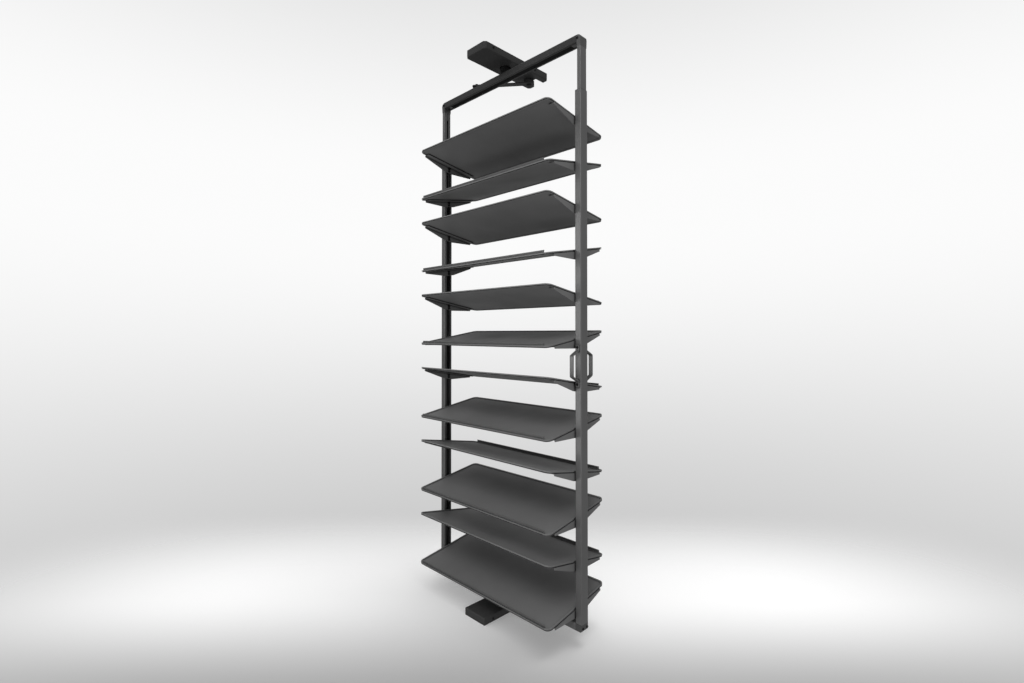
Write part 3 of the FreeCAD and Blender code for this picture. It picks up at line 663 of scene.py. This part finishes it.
class Bench:
    """Makes finished shapes into pieces that ride on the frame, and counts them."""

    def __init__(self) -> None:
        """Build the finishes and look up which body holds each node."""
        self.materials = {finish.label: finish.material() for finish in FINISHES}
        bodies = frame["record"]["behaviour"]["bodies"]
        self.body_of = {node: body for body, nodes in bodies.items() for node in nodes}
        self.count = 0

    def piece(self, name: str, shape: bmesh.types.BMesh, slot: Slot, *nodes: str,
              coat: str = "") -> bpy.types.Object:
        """Turn a shape into a piece that stands for CAD nodes.

        Args:
            name: The piece's name.
            shape: Its shape, in the frame's place. It is used up.
            slot: The finish that it gets.
            *nodes: The CAD nodes that it stands for, all on one body.
            coat: The finish's own name, where the slot has more than one.

        Returns:
            The piece.
        """
        for edge in shape.edges:
            edge.smooth = edge.is_manifold and edge.calc_face_angle(0.0) < SOFT_ANGLE
        for face in shape.faces:
            face.smooth = True
        mesh = bpy.data.meshes.new(name)
        shape.to_mesh(mesh)
        shape.free()
        mesh.materials.append(self.materials[coat or slot.value])
        made = bpy.data.objects.new(name, mesh)
        bpy.context.scene.collection.objects.link(made)
        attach(made, self.body_of[nodes[0]])
        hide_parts(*nodes)
        self.count += 1
        LOG.info("%s: %d faces, for %s", name, len(mesh.polygons), ", ".join(nodes))
        return made

    def soften(self, name: str, node: str, slot: Slot, width: float) -> bpy.types.Object:
        """Stand a copy of a CAD node with eased edges in for it."""
        return self.piece(name, ease(merged_copy(node), width), slot, node)


class Assembly(ABC):
    """A sub-assembly that builds and dresses its own pieces."""

    @abstractmethod
    def build(self, bench: Bench) -> None:
        """Make the pieces on a bench."""


@dataclass
class TrayStack(Assembly):
    """Twelve pressed trays with their heel rails and gusset brackets.

    Attributes:
        tilt: Lean of a tray, by turns to -Y and to +Y.
        depth: Depth of a tray along its own plane.
        corner: Radius of its corners.
        corner_strips: Facets round a corner.
        rim: Width of the rim's top.
        rise: Height of the rim over the panel.
        slope: How far the rim's inner wall leans in.
        crest: Height of the rim's outer face.
        recess: Depth of the groove under that face.
        lip: Height of the lip under the groove.
        back: How far that lip is set back.
        hem: Width of the rim underneath, from its outside to its hem's edge.
        drop: Depth of the hem under the panel's top.
        sheet: Thickness of the sheet.
        fold: Radius of the folds.
        rail_height: Height of a heel rail over the rim.
        rail_sheet: Thickness of the rail.
        rail_foot: Width of the foot outside its wall.
        rail_hem: Depth of the hem along its top.
        rail_inset: How far its ends stop short of the tray's ends.
        rail_fold: Radius of the rail's folds.
        bracket_edge: Easing of the brackets' edges.
        bolt_edge: Easing of the bolts' edges.
    """

    tilt: float = math.radians(9.6)
    depth: float = 308 * MM
    corner: float = 20 * MM
    corner_strips: int = 8
    rim: float = 5.0 * MM
    rise: float = 4.0 * MM
    slope: float = 1.5 * MM
    crest: float = 4.3 * MM
    recess: float = 4.2 * MM
    lip: float = 0.6 * MM
    back: float = 0.4 * MM
    hem: float = 7.5 * MM
    drop: float = 3.5 * MM
    sheet: float = 1.2 * MM
    fold: float = 0.25 * MM
    rail_height: float = 8.5 * MM
    rail_sheet: float = 1.5 * MM
    rail_foot: float = 3.0 * MM
    rail_hem: float = 4.0 * MM
    rail_inset: float = 21 * MM
    rail_fold: float = 0.4 * MM
    bracket_edge: float = 0.5 * MM
    bolt_edge: float = 0.35 * MM

    def place(self, number: int) -> Matrix:
        """Find a tray's own frame, with the middle of its panel at the origin.

        Args:
            number: The tray's number, from 1 at the bottom.

        Returns:
            Where that frame is.
        """
        low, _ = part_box(f"tray_{number:02d}")
        fall = self.depth / 2 * math.sin(self.tilt) + self.drop * math.cos(self.tilt)
        lean = self.tilt if number % 2 else -self.tilt
        return Matrix.Translation((0, 0, low.z + fall)) @ Matrix.Rotation(lean, 4, "X")

    def length(self) -> float:
        """Length of a tray along X."""
        low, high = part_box("tray_01")
        return high.x - low.x

    def ring(self, inwards: float) -> list[tuple[float, float]]:
        """Draw the tray's outline.

        Args:
            inwards: How far it is drawn in all round.

        Returns:
            The points, round from +X by way of +Y.
        """
        radius = self.corner - inwards
        points = []
        for quarter in range(4):
            across = (self.length() / 2 - self.corner) * (1 if quarter in (0, 3) else -1)
            along = (self.depth / 2 - self.corner) * (1 if quarter in (0, 1) else -1)
            for step in range(self.corner_strips + 1):
                angle = math.pi / 2 * (quarter + step / self.corner_strips)
                points.append((across + radius * math.cos(angle), along + radius * math.sin(angle)))
        return points

    def pressing(self) -> bmesh.types.BMesh:
        """Model a tray in its own frame: a panel in a raised rim, with a groove round it and a hem below.

        Returns:
            The closed shape, with rounded folds.
        """
        section = (
            (self.rim + self.slope, 0.0),
            (self.rim, self.rise),
            (0.0, self.rise),
            (0.0, self.rise - self.crest),
            (self.recess, self.rise - self.crest),
            (self.recess, self.lip - self.drop),
            (self.back, self.lip - self.drop),
            (self.back, -self.drop),
            (self.hem, -self.drop),
            (self.hem + self.slope, -self.sheet),
        )
        shape = bmesh.new()
        rings = [[shape.verts.new((x, y, z)) for x, y in self.ring(inwards)] for inwards, z in section]
        for first, second in zip(rings, rings[1:]):
            for index, vert in enumerate(first):
                shape.faces.new((vert, second[index], second[index - 1], first[index - 1]))
        shape.faces.new(rings[0])
        shape.faces.new(rings[-1])
        bmesh.ops.recalc_face_normals(shape, faces=shape.faces)
        return ease(shape, self.fold)

    def rail(self, side: int) -> bmesh.types.BMesh:
        """A heel rail in its tray's frame: a foot on the rim, an upright wall and a hem.

        Args:
            side: -1 for a tray that is low at -Y, and 1 for one that is low at +Y.

        Returns:
            The folded strip.
        """
        wall = self.depth / 2 - self.rim
        face, top = wall + self.rail_sheet, self.rise + self.rail_height
        outline = (
            (face + self.rail_foot, self.rise),
            (face + self.rail_foot, self.rise + self.rail_sheet),
            (face, self.rise + self.rail_sheet),
            (face, top),
            (wall - self.rail_sheet, top),
            (wall - self.rail_sheet, top - self.rail_hem),
            (wall, top - self.rail_hem),
            (wall, self.rise),
        )
        half = self.length() / 2 - self.rail_inset
        shape = bmesh.new()
        section = shape.faces.new([shape.verts.new((-half, side * y, z)) for y, z in outline])
        swept = bmesh.ops.extrude_face_region(shape, geom=[section])["geom"]
        ends = [item for item in swept if isinstance(item, bmesh.types.BMVert)]
        bmesh.ops.translate(shape, vec=(2 * half, 0, 0), verts=ends)
        bmesh.ops.recalc_face_normals(shape, faces=shape.faces)
        return ease(shape, self.rail_fold)

    def build(self, bench: Bench) -> None:
        """Make every tray and rail, and ease the brackets and their bolts.

        Args:
            bench: Where the pieces are made.
        """
        for number in range(1, TRAY_COUNT + 1):
            place = self.place(number)
            side = -1 if number % 2 else 1
            bench.piece(f"pressed_tray_{number:02d}", moved(self.pressing(), place), Slot.TRAY_PAINT,
                        f"tray_{number:02d}")
            # Painted shade: each rail takes the darker copy of the tray paint.
            bench.piece(f"folded_rail_{number:02d}", moved(self.rail(side), place), Slot.TRAY_PAINT,
                        f"heel_rail_{number:02d}", coat=RAIL_SHADED_COAT)
        for hand in ("left", "right"):
            bench.soften(f"{hand}_gussets", f"{hand}_tray_brackets", Slot.TRAY_PAINT, self.bracket_edge)
        bench.soften("gusset_bolts", "tray_bolts", Slot.BLACK_STEEL, self.bolt_edge)


@dataclass
class TurningFrame(Assembly):
    """Posts, crossbars, connectors and handles.

    Attributes:
        rolled_edge: Easing of the rolled channels' edges.
        moulded_edge: Easing of the moulded connectors' edges.
        strap_edge: Easing of the handles' edges.
        skin: How far a top connector stands proud of its post.
    """

    rolled_edge: float = 0.2 * MM
    moulded_edge: float = 0.9 * MM
    strap_edge: float = 1.0 * MM
    skin: float = 0.2 * MM

    def flush(self, side: str) -> bmesh.types.BMesh:
        """A top connector that is drawn in to the outside of its post.

        Args:
            side: The post's side, left or right.

        Returns:
            The shape, with eased edges.
        """
        shape = merged_copy(f"top_{side}_corner")
        low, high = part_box(f"{side}_telescopic_post")
        under_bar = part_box("top_crossbar")[0].z
        outside = max(abs(low.x), abs(high.x)) + self.skin
        half = high.y + self.skin
        for vert in shape.verts:
            vert.co.x = max(-outside, min(outside, vert.co.x))
            if vert.co.z < under_bar:
                vert.co.y = max(-half, min(half, vert.co.y))
        return ease(shape, self.moulded_edge)

    def build(self, bench: Bench) -> None:
        """Ease every channel, connector and handle.

        Args:
            bench: Where the pieces are made.
        """
        for side in ("left", "right"):
            paint, plastic = Slot.FRAME_PAINT, Slot.DARK_PLASTIC
            bench.soften(f"{side}_channel_post", f"{side}_post", paint, self.rolled_edge)
            bench.soften(f"{side}_inner_post", f"{side}_telescopic_post", paint, self.rolled_edge)
            bench.soften(f"{side}_mouth_guide", f"{side}_post_guide", plastic, self.rolled_edge)
            bench.piece(f"top_{side}_connector", self.flush(side), plastic, f"top_{side}_corner")
            bench.soften(f"bottom_{side}_connector", f"bottom_{side}_corner", plastic, self.moulded_edge)
        for level, slot in (("top", Slot.UNIT_PAINT), ("bottom", Slot.FRAME_PAINT)):
            bench.soften(f"{level}_channel_bar", f"{level}_crossbar", slot, self.rolled_edge)
        for face in ("front", "rear"):
            bench.soften(f"{face}_pull", f"{face}_handle", Slot.FRAME_PAINT, self.strap_edge)


@dataclass
class ScrewSets(Assembly):
    """Every set of pan-head screws, with a hexagon socket in each head.

    Attributes:
        head: Radius of a head.
        crown: Radius of the flat on a head's crown.
        height: Height of a head.
        socket: Corner radius of the socket.
        socket_depth: Depth of the socket.
        socket_taper: Width of the socket's floor, as a share of its mouth.
        shoulder: Width of the head's rounding half-way, as a share of the head.
        shoulder_drop: How far down that is, as a share of the head's height.
        brim_drop: How far down the head is widest, as a share of its height.
        shank: Radius of the shank.
        tip: Width of the shank's tip, as a share of the shank.
        tip_length: Length of the tip.
        facets: Facets round a head, a multiple of six.
        nodes: The CAD nodes that are sets of screws.
    """

    head: float = 4.5 * MM
    crown: float = 3.1 * MM
    height: float = 3.0 * MM
    socket: float = 1.9 * MM
    socket_depth: float = 1.7 * MM
    socket_taper: float = 0.96
    shoulder: float = 0.87
    shoulder_drop: float = 0.28
    brim_drop: float = 0.7
    shank: float = 2.5 * MM
    tip: float = 0.75
    tip_length: float = 0.6 * MM
    facets: int = 24
    nodes: tuple[str, ...] = (
        "telescope_clamp_screws", "bottom_corner_screws", "top_corner_screws", "handle_screws",
        "floor_cover_screws", "ceiling_cover_screws")

    @staticmethod
    def seats(node: str) -> list[tuple[Matrix, float]]:
        """Read where a node's screws sit.

        Args:
            node: A CAD node of equal screws.

        Returns:
            The place of each head's crown, with Z out of it, and the screw's length.
        """
        shape = merged_copy(node)
        found = []
        for points in islands(shape):
            low = Vector(map(min, *points))
            high = Vector(map(max, *points))
            middle = (low + high) / 2
            ends = []
            for axis in range(3):
                for way, edge in ((1, high[axis]), (-1, low[axis])):
                    out = Vector([way if index == axis else 0 for index in range(3)])
                    at_end = [p - middle for p in points if abs(p[axis] - edge) < AT_END]
                    reach = max((p - p.project(out)).length for p in at_end)
                    ends.append((axis, reach, out))
            spread = {axis: abs(ends[2 * axis][1] - ends[2 * axis + 1][1]) for axis in range(3)}
            along = max(spread, key=spread.get)
            out = max((end for end in ends if end[0] == along), key=lambda end: end[1])[2]
            crown = middle + out * (high - low)[along] / 2
            turn = out.to_track_quat("Z", "Y").to_matrix().to_4x4()
            found.append((Matrix.Translation(crown) @ turn, (high - low)[along]))
        shape.free()
        return found

    @staticmethod
    def grow(shape: bmesh.types.BMesh, rim: list[bmesh.types.BMEdge], radius: float,
             height: float) -> list[bmesh.types.BMEdge]:
        """Draw a ring of edges out to a new ring.

        Args:
            shape: The shape under work.
            rim: The ring to start from.
            radius: How much wider the new ring is, as a share.
            height: The new ring's height.

        Returns:
            The new ring.
        """
        made = bmesh.ops.extrude_edge_only(shape, edges=rim)["geom"]
        points = [item for item in made if isinstance(item, bmesh.types.BMVert)]
        bmesh.ops.scale(shape, vec=(radius, radius, 1), verts=points)
        bmesh.ops.translate(shape, vec=(0, 0, height - points[0].co.z), verts=points)
        return [e for e in made if isinstance(e, bmesh.types.BMEdge) and all(v in points for v in e.verts)]

    def screw(self, length: float) -> bmesh.types.BMesh:
        """A screw with its crown at the origin and its shank down.

        Args:
            length: The whole length of the screw.

        Returns:
            The closed shape.
        """
        shape = bmesh.new()
        bmesh.ops.create_circle(shape, segments=6, radius=self.socket)
        bmesh.ops.subdivide_edges(shape, edges=shape.edges[:], cuts=self.facets // 6 - 1)
        mouth = shape.edges[:]
        floor = self.grow(shape, mouth, self.socket_taper, -self.socket_depth)
        bmesh.ops.edgeloop_fill(shape, edges=floor)
        ring = bmesh.ops.create_circle(shape, segments=self.facets, radius=self.crown)["verts"]
        rim = list({edge for vert in ring for edge in vert.link_edges})
        bmesh.ops.bridge_loops(shape, edges=mouth + rim)
        bulge = self.shoulder * self.head / self.crown
        shoulder = self.grow(shape, rim, bulge, -self.shoulder_drop * self.height)
        widest = self.grow(shape, shoulder, 1 / self.shoulder, -self.brim_drop * self.height)
        seat = self.grow(shape, widest, 1.0, -self.height)
        neck = self.grow(shape, seat, self.shank / self.head, -self.height)
        tail = self.grow(shape, neck, 1.0, self.tip_length - length)
        end = self.grow(shape, tail, self.tip, -length)
        bmesh.ops.edgeloop_fill(shape, edges=end)
        bmesh.ops.recalc_face_normals(shape, faces=shape.faces)
        return shape

    def build(self, bench: Bench) -> None:
        """Make each set of screws as one piece.

        Args:
            bench: Where the pieces are made.
        """
        for node in self.nodes:
            heads = [moved(self.screw(length), place) for place, length in self.seats(node)]
            bench.piece(f"socket_{node}", joined(heads), Slot.BLACK_STEEL, node)


@dataclass
class PivotUnits(Assembly):
    """Floor and ceiling units with their covers, plates and bushes.

    Attributes:
        pressed_edge: Easing of the covers' edges.
        plate_edge: Easing of the plates' edges.
        bush_edge: Easing of the bushes' edges.
        bore: Radius of a bush's bore.
        neck: Radius of its neck.
        neck_length: Length of its neck.
        groove: Width and depth of the groove round its shoulder.
    """

    pressed_edge: float = 0.9 * MM
    plate_edge: float = 0.4 * MM
    bush_edge: float = 0.3 * MM
    bore: float = 10.05 * MM
    neck: float = 15 * MM
    neck_length: float = 8 * MM
    groove: float = 1.6 * MM

    def bush(self, node: str, neck_way: int) -> bmesh.types.BMesh:
        """A turned bush in its place, with a groove round the middle of its shoulder.

        Args:
            node: The CAD node that it stands for.
            neck_way: 1 if the neck points up, and -1 if it points down.

        Returns:
            The turned ring.
        """
        low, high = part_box(node)
        hub = (high.x - low.x) / 2
        tall = high.z - low.z
        step = tall - self.neck_length
        middle, half = step / 2, self.groove / 2
        outline = [
            (self.bore, 0.0),
            (hub, 0.0),
            (hub, middle - half),
            (hub - self.groove, middle - half / 2),
            (hub - self.groove, middle + half / 2),
            (hub, middle + half),
            (hub, step),
            (self.neck, step),
            (self.neck, tall),
            (self.bore, tall),
            (self.bore, 0.0),
        ]
        shape = ease(turned(outline), self.bush_edge)
        if neck_way > 0:
            return moved(shape, Matrix.Translation((0, 0, low.z)))
        return moved(shape, Matrix.Translation((0, 0, high.z)) @ Matrix.Rotation(math.pi, 4, "X"))

    def build(self, bench: Bench) -> None:
        """Ease the covers, the plates and the washer, and turn the bushes.

        Args:
            bench: Where the pieces are made.
        """
        for level, way in (("floor", 1), ("ceiling", -1)):
            bench.soften(f"{level}_shell", f"{level}_cover", Slot.UNIT_PAINT, self.pressed_edge)
            bench.soften(f"{level}_plate", f"{level}_pivot_plate", Slot.ZINC_STEEL, self.plate_edge)
            bench.piece(f"{level}_bearing", self.bush(f"{level}_bush", way), Slot.BLACK_PLASTIC,
                        f"{level}_bush")
        bench.soften("thrust_ring", "thrust_washer", Slot.BLACK_PLASTIC, self.plate_edge)


@dataclass
class StopGear(Assembly):
    """Stop lever, its pivot pin, and the stud and nut on the top crossbar.

    Attributes:
        lever_edge: Easing of the lever's edges.
        pin_edge: Easing of the turned pieces' edges.
    """

    lever_edge: float = 0.7 * MM
    pin_edge: float = 0.6 * MM

    def build(self, bench: Bench) -> None:
        """Ease the lever, the pin, the stud and the nut.

        Args:
            bench: Where the pieces are made.
        """
        bench.soften("catch_lever", "stop_lever", Slot.UNIT_PAINT, self.lever_edge)
        bench.soften("headed_pin", "lever_pivot_pin", Slot.BLACK_STEEL, self.pin_edge)
        bench.soften("sleeved_stud", "catch_stud", Slot.BLACK_STEEL, self.pin_edge)
        bench.soften("stud_nut", "catch_nut", Slot.BLACK_STEEL, self.pin_edge)


@dataclass(frozen=True)
class Softbox:
    """A large soft light.

    Attributes:
        name: Its name.
        place: Where it stands.
        target: What it points at.
        size: Its width and height.
        power: Its power in watts.
        spread: Angle of its beam.
        soft: Whether it lights matt surfaces too, and not only gloss.
        share: What it does to the floor.
    """

    name: str
    place: tuple[float, float, float]
    target: tuple[float, float, float]
    size: tuple[float, float]
    power: float
    spread: float = math.pi
    soft: bool = True
    share: FloorShare = FloorShare.NONE

    def hang(self) -> None:
        """Add the light to the scene."""
        lamp = bpy.data.lights.new(self.name, "AREA")
        lamp.shape = "RECTANGLE"
        lamp.size, lamp.size_y = self.size
        lamp.energy = self.power
        lamp.spread = self.spread
        holder = bpy.data.objects.new(self.name, lamp)
        holder.location = self.place
        holder.visible_camera = False
        holder.visible_diffuse = self.soft
        aim = Vector(self.target) - Vector(self.place)
        holder.rotation_euler = aim.to_track_quat("-Z", "Y").to_euler()
        bpy.context.scene.collection.objects.link(holder)
        chosen = bpy.data.collections.new(self.name)
        chosen.objects.link(bpy.data.objects[FLOOR_NAME])
        if self.share is FloorShare.NONE:
            chosen.collection_objects[0].light_linking.link_state = "EXCLUDE"
        holder.light_linking.receiver_collection = chosen


@dataclass
class Studio:
    """Pale floor and backdrop, soft light and the photograph's camera.

    Attributes:
        eye: Where the camera stands.
        heading: Its heading, from +Y towards -X.
        pitch: How far it looks up.
        lens: Focal length in millimetres.
        sensor: Sensor width in millimetres.
        rise: Vertical shift, as a share of the picture's width.
        aside: Sideways shift, as a share of the picture's width.
        clip: Nearest and farthest distance that the camera sees.
        dome: Radius of the backdrop.
        dome_facets: Facets round and up the backdrop.
        sky: Tone of the backdrop at its brightest height.
        sky_foot: Tone of the backdrop's foot.
        sky_foot_range: Heights between the foot and the brightest, as shares of the radius.
        sky_top: Tone of the backdrop far overhead.
        sky_top_range: Heights between the brightest and overhead, as shares of the radius.
        floor_tone: Tone of the floor.
        floor_front_shade: Tone of the floor's front edge, a painted shade that darkens the floor towards the
            front.
        floor_pool: Where the floor goes from its front's painted shade to its own tone, a painted pool of
            light round the base, along the view.
        floor_rough: Roughness of the floor.
        floor_glow: How strongly the floor glows of itself.
        floor_reach: Radius of the floor.
        floor_facets: Facets round the floor.
        floor_back: Where the floor starts and ends to fade towards its back.
        floor_fade: Where the floor starts and ends to fade into the backdrop all round.
        ambient: Tone of the light from behind and below.
        front: Tone of the light from above in front.
        front_way: Direction of that light.
        front_range: Range of the reach along that direction over which the tone changes.
        softboxes: The lights.
    """

    eye: tuple[float, float, float] = (1.4254, -1.3885, 1.043)
    heading: float = math.radians(45)
    pitch: float = math.radians(0.75)
    lens: float = 18.043
    sensor: float = 36.0
    rise: float = -0.0147
    aside: float = 0.0001
    clip: tuple[float, float] = (0.05, 60.0)
    dome: float = 30.0
    dome_facets: tuple[int, int] = (96, 64)
    sky: float = 0.97
    sky_foot: float = 0.575
    sky_foot_range: tuple[float, float] = (-0.45, 0.24)
    sky_top: float = 0.55
    sky_top_range: tuple[float, float] = (0.32, 0.95)
    floor_tone: float = 0.95
    floor_front_shade: float = 0.33
    floor_pool: tuple[float, float] = (-0.6, 0.05)
    floor_rough: float = 0.7
    floor_glow: float = 0.21
    floor_reach: float = 9.0
    floor_facets: int = 96
    floor_back: tuple[float, float] = (0.1, 1.05)
    floor_fade: tuple[float, float] = (1.0, 2.6)
    ambient: float = 0.42
    front: float = 0.80
    front_way: tuple[float, float, float] = (0.15, -0.5, 0.85)
    front_range: tuple[float, float] = (-0.1, 0.9)
    softboxes: tuple[Softbox, ...] = (
        Softbox("low_light", place=(0.9, -1.9, 0.1), target=(0.2, 0.0, 1.7), size=(1.2, 0.5), power=3.6,
                spread=math.radians(90)),
        Softbox("high_light", place=(1.2, -1.9, 2.7), target=(0.25, 0.0, 0.5), size=(1.2, 1.2), power=6.5,
                spread=math.radians(80)),
        Softbox("side_light", place=(-1.05, -2.1, 1.1), target=(0.3, 0.0, 1.1), size=(0.7, 2.4), power=22.0,
                soft=False),
        Softbox("floor_light", place=(1.8, 1.8, 9.5), target=(0.0, 0.0, 0.0), size=(5.0, 5.0), power=260.0,
                share=FloorShare.ALL),
    )

    def backdrop(self) -> None:
        """Put up a dome that only the camera sees, brightest behind the object."""
        shape = bmesh.new()
        across, up = self.dome_facets
        bmesh.ops.create_uvsphere(shape, u_segments=across, v_segments=up, radius=self.dome)
        graph = Graph(bpy.data.materials.new("studio_backdrop"))
        height = graph.node("ShaderNodeSeparateXYZ", {0: graph.place()}, "Z") * (1 / self.dome)
        below = graph.spread(height, *self.sky_foot_range, self.sky_foot, self.sky)
        above = graph.spread(height, *self.sky_top_range, 0.0, self.sky - self.sky_top)
        tone = graph.neutral(below - above)
        graph.finish(Base_Color=grey(0.0), Specular_IOR_Level=0.0, Emission_Color=tone, Emission_Strength=1.0)
        hung = self.stand("studio_backdrop", shape, graph.owner)
        hung.visible_diffuse = hung.visible_glossy = hung.visible_shadow = False

    def floor(self) -> None:
        """Lay a round floor that fades into the backdrop, with painted shade towards its front and a painted
        pool of light round the base.
        """
        shape = bmesh.new()
        bmesh.ops.create_circle(shape, cap_ends=True, segments=self.floor_facets, radius=self.floor_reach)
        graph = Graph(bpy.data.materials.new(FLOOR_NAME))
        where = graph.place()
        away = graph.node("ShaderNodeVectorMath", {0: where}, "Value", operation="LENGTH")
        along = graph.towards(where, (-math.sin(self.heading), math.cos(self.heading), 0.0))
        # Painted light and shade: the floor's colour is painted darker towards the front and lighter in a
        # pool round the base, and the floor glows in that colour.
        pool = graph.spread(along, *self.floor_pool, 0.0, 1.0)
        colour = graph.blend(pool, grey(self.floor_front_shade), grey(self.floor_tone))
        near = graph.spread(along, *self.floor_back, 1.0, 0.0)
        graph.finish(
            Base_Color=colour,
            Emission_Color=colour,
            Emission_Strength=self.floor_glow,
            Roughness=self.floor_rough,
            Alpha=near * graph.spread(away, *self.floor_fade, 1.0, 0.0),
        )
        laid = self.stand(FLOOR_NAME, shape, graph.owner)
        laid.visible_diffuse = laid.visible_glossy = False

    @staticmethod
    def stand(name: str, shape: bmesh.types.BMesh, material: bpy.types.Material) -> bpy.types.Object:
        """Put a shape into the scene as part of the studio.

        Args:
            name: Its name.
            shape: The shape. It is used up.
            material: Its material.

        Returns:
            The object.
        """
        mesh = bpy.data.meshes.new(name)
        shape.to_mesh(mesh)
        shape.free()
        mesh.materials.append(material)
        made = bpy.data.objects.new(name, mesh)
        bpy.context.scene.collection.objects.link(made)
        return made

    def light(self) -> None:
        """Light the scene softly, most from above in front, and hang the softboxes."""
        graph = Graph(bpy.data.worlds.new("studio"))
        facing = graph.towards(graph.node("ShaderNodeTexCoord", {}, "Generated"), self.front_way)
        tone = graph.spread(facing, *self.front_range, self.ambient, self.front)
        bpy.context.scene.world = graph.finish(Color=graph.neutral(tone))
        bpy.context.scene.view_settings.view_transform = "Standard"
        for box in self.softboxes:
            box.hang()

    def camera(self) -> None:
        """Set up the photograph's camera."""
        lens = bpy.data.cameras.new("photo_camera")
        lens.lens, lens.sensor_width = self.lens, self.sensor
        lens.shift_x, lens.shift_y = self.aside, self.rise
        lens.clip_start, lens.clip_end = self.clip
        holder = bpy.data.objects.new("photo_camera", lens)
        holder.location = self.eye
        level = Quaternion((0, 0, 1), self.heading) @ Quaternion((1, 0, 0), math.pi / 2 + self.pitch)
        holder.rotation_euler = level.to_euler()
        bpy.context.scene.collection.objects.link(holder)
        bpy.context.scene.camera = holder

    def build(self) -> None:
        """Put up the backdrop, lay the floor, hang the lights and set up the camera."""
        self.backdrop()
        self.floor()
        self.light()
        self.camera()


def main() -> None:
    """Build the sub-assemblies in order, then the studio."""
    logging.basicConfig(level=logging.INFO, format="%(name)s: %(message)s")
    bench = Bench()
    for assembly in (TrayStack(), TurningFrame(), ScrewSets(), PivotUnits(), StopGear()):
        assembly.build(bench)
        LOG.info("%s is done, %d pieces so far", type(assembly).__name__, bench.count)
    Studio().build()


if __name__ == "__main__":
    main()
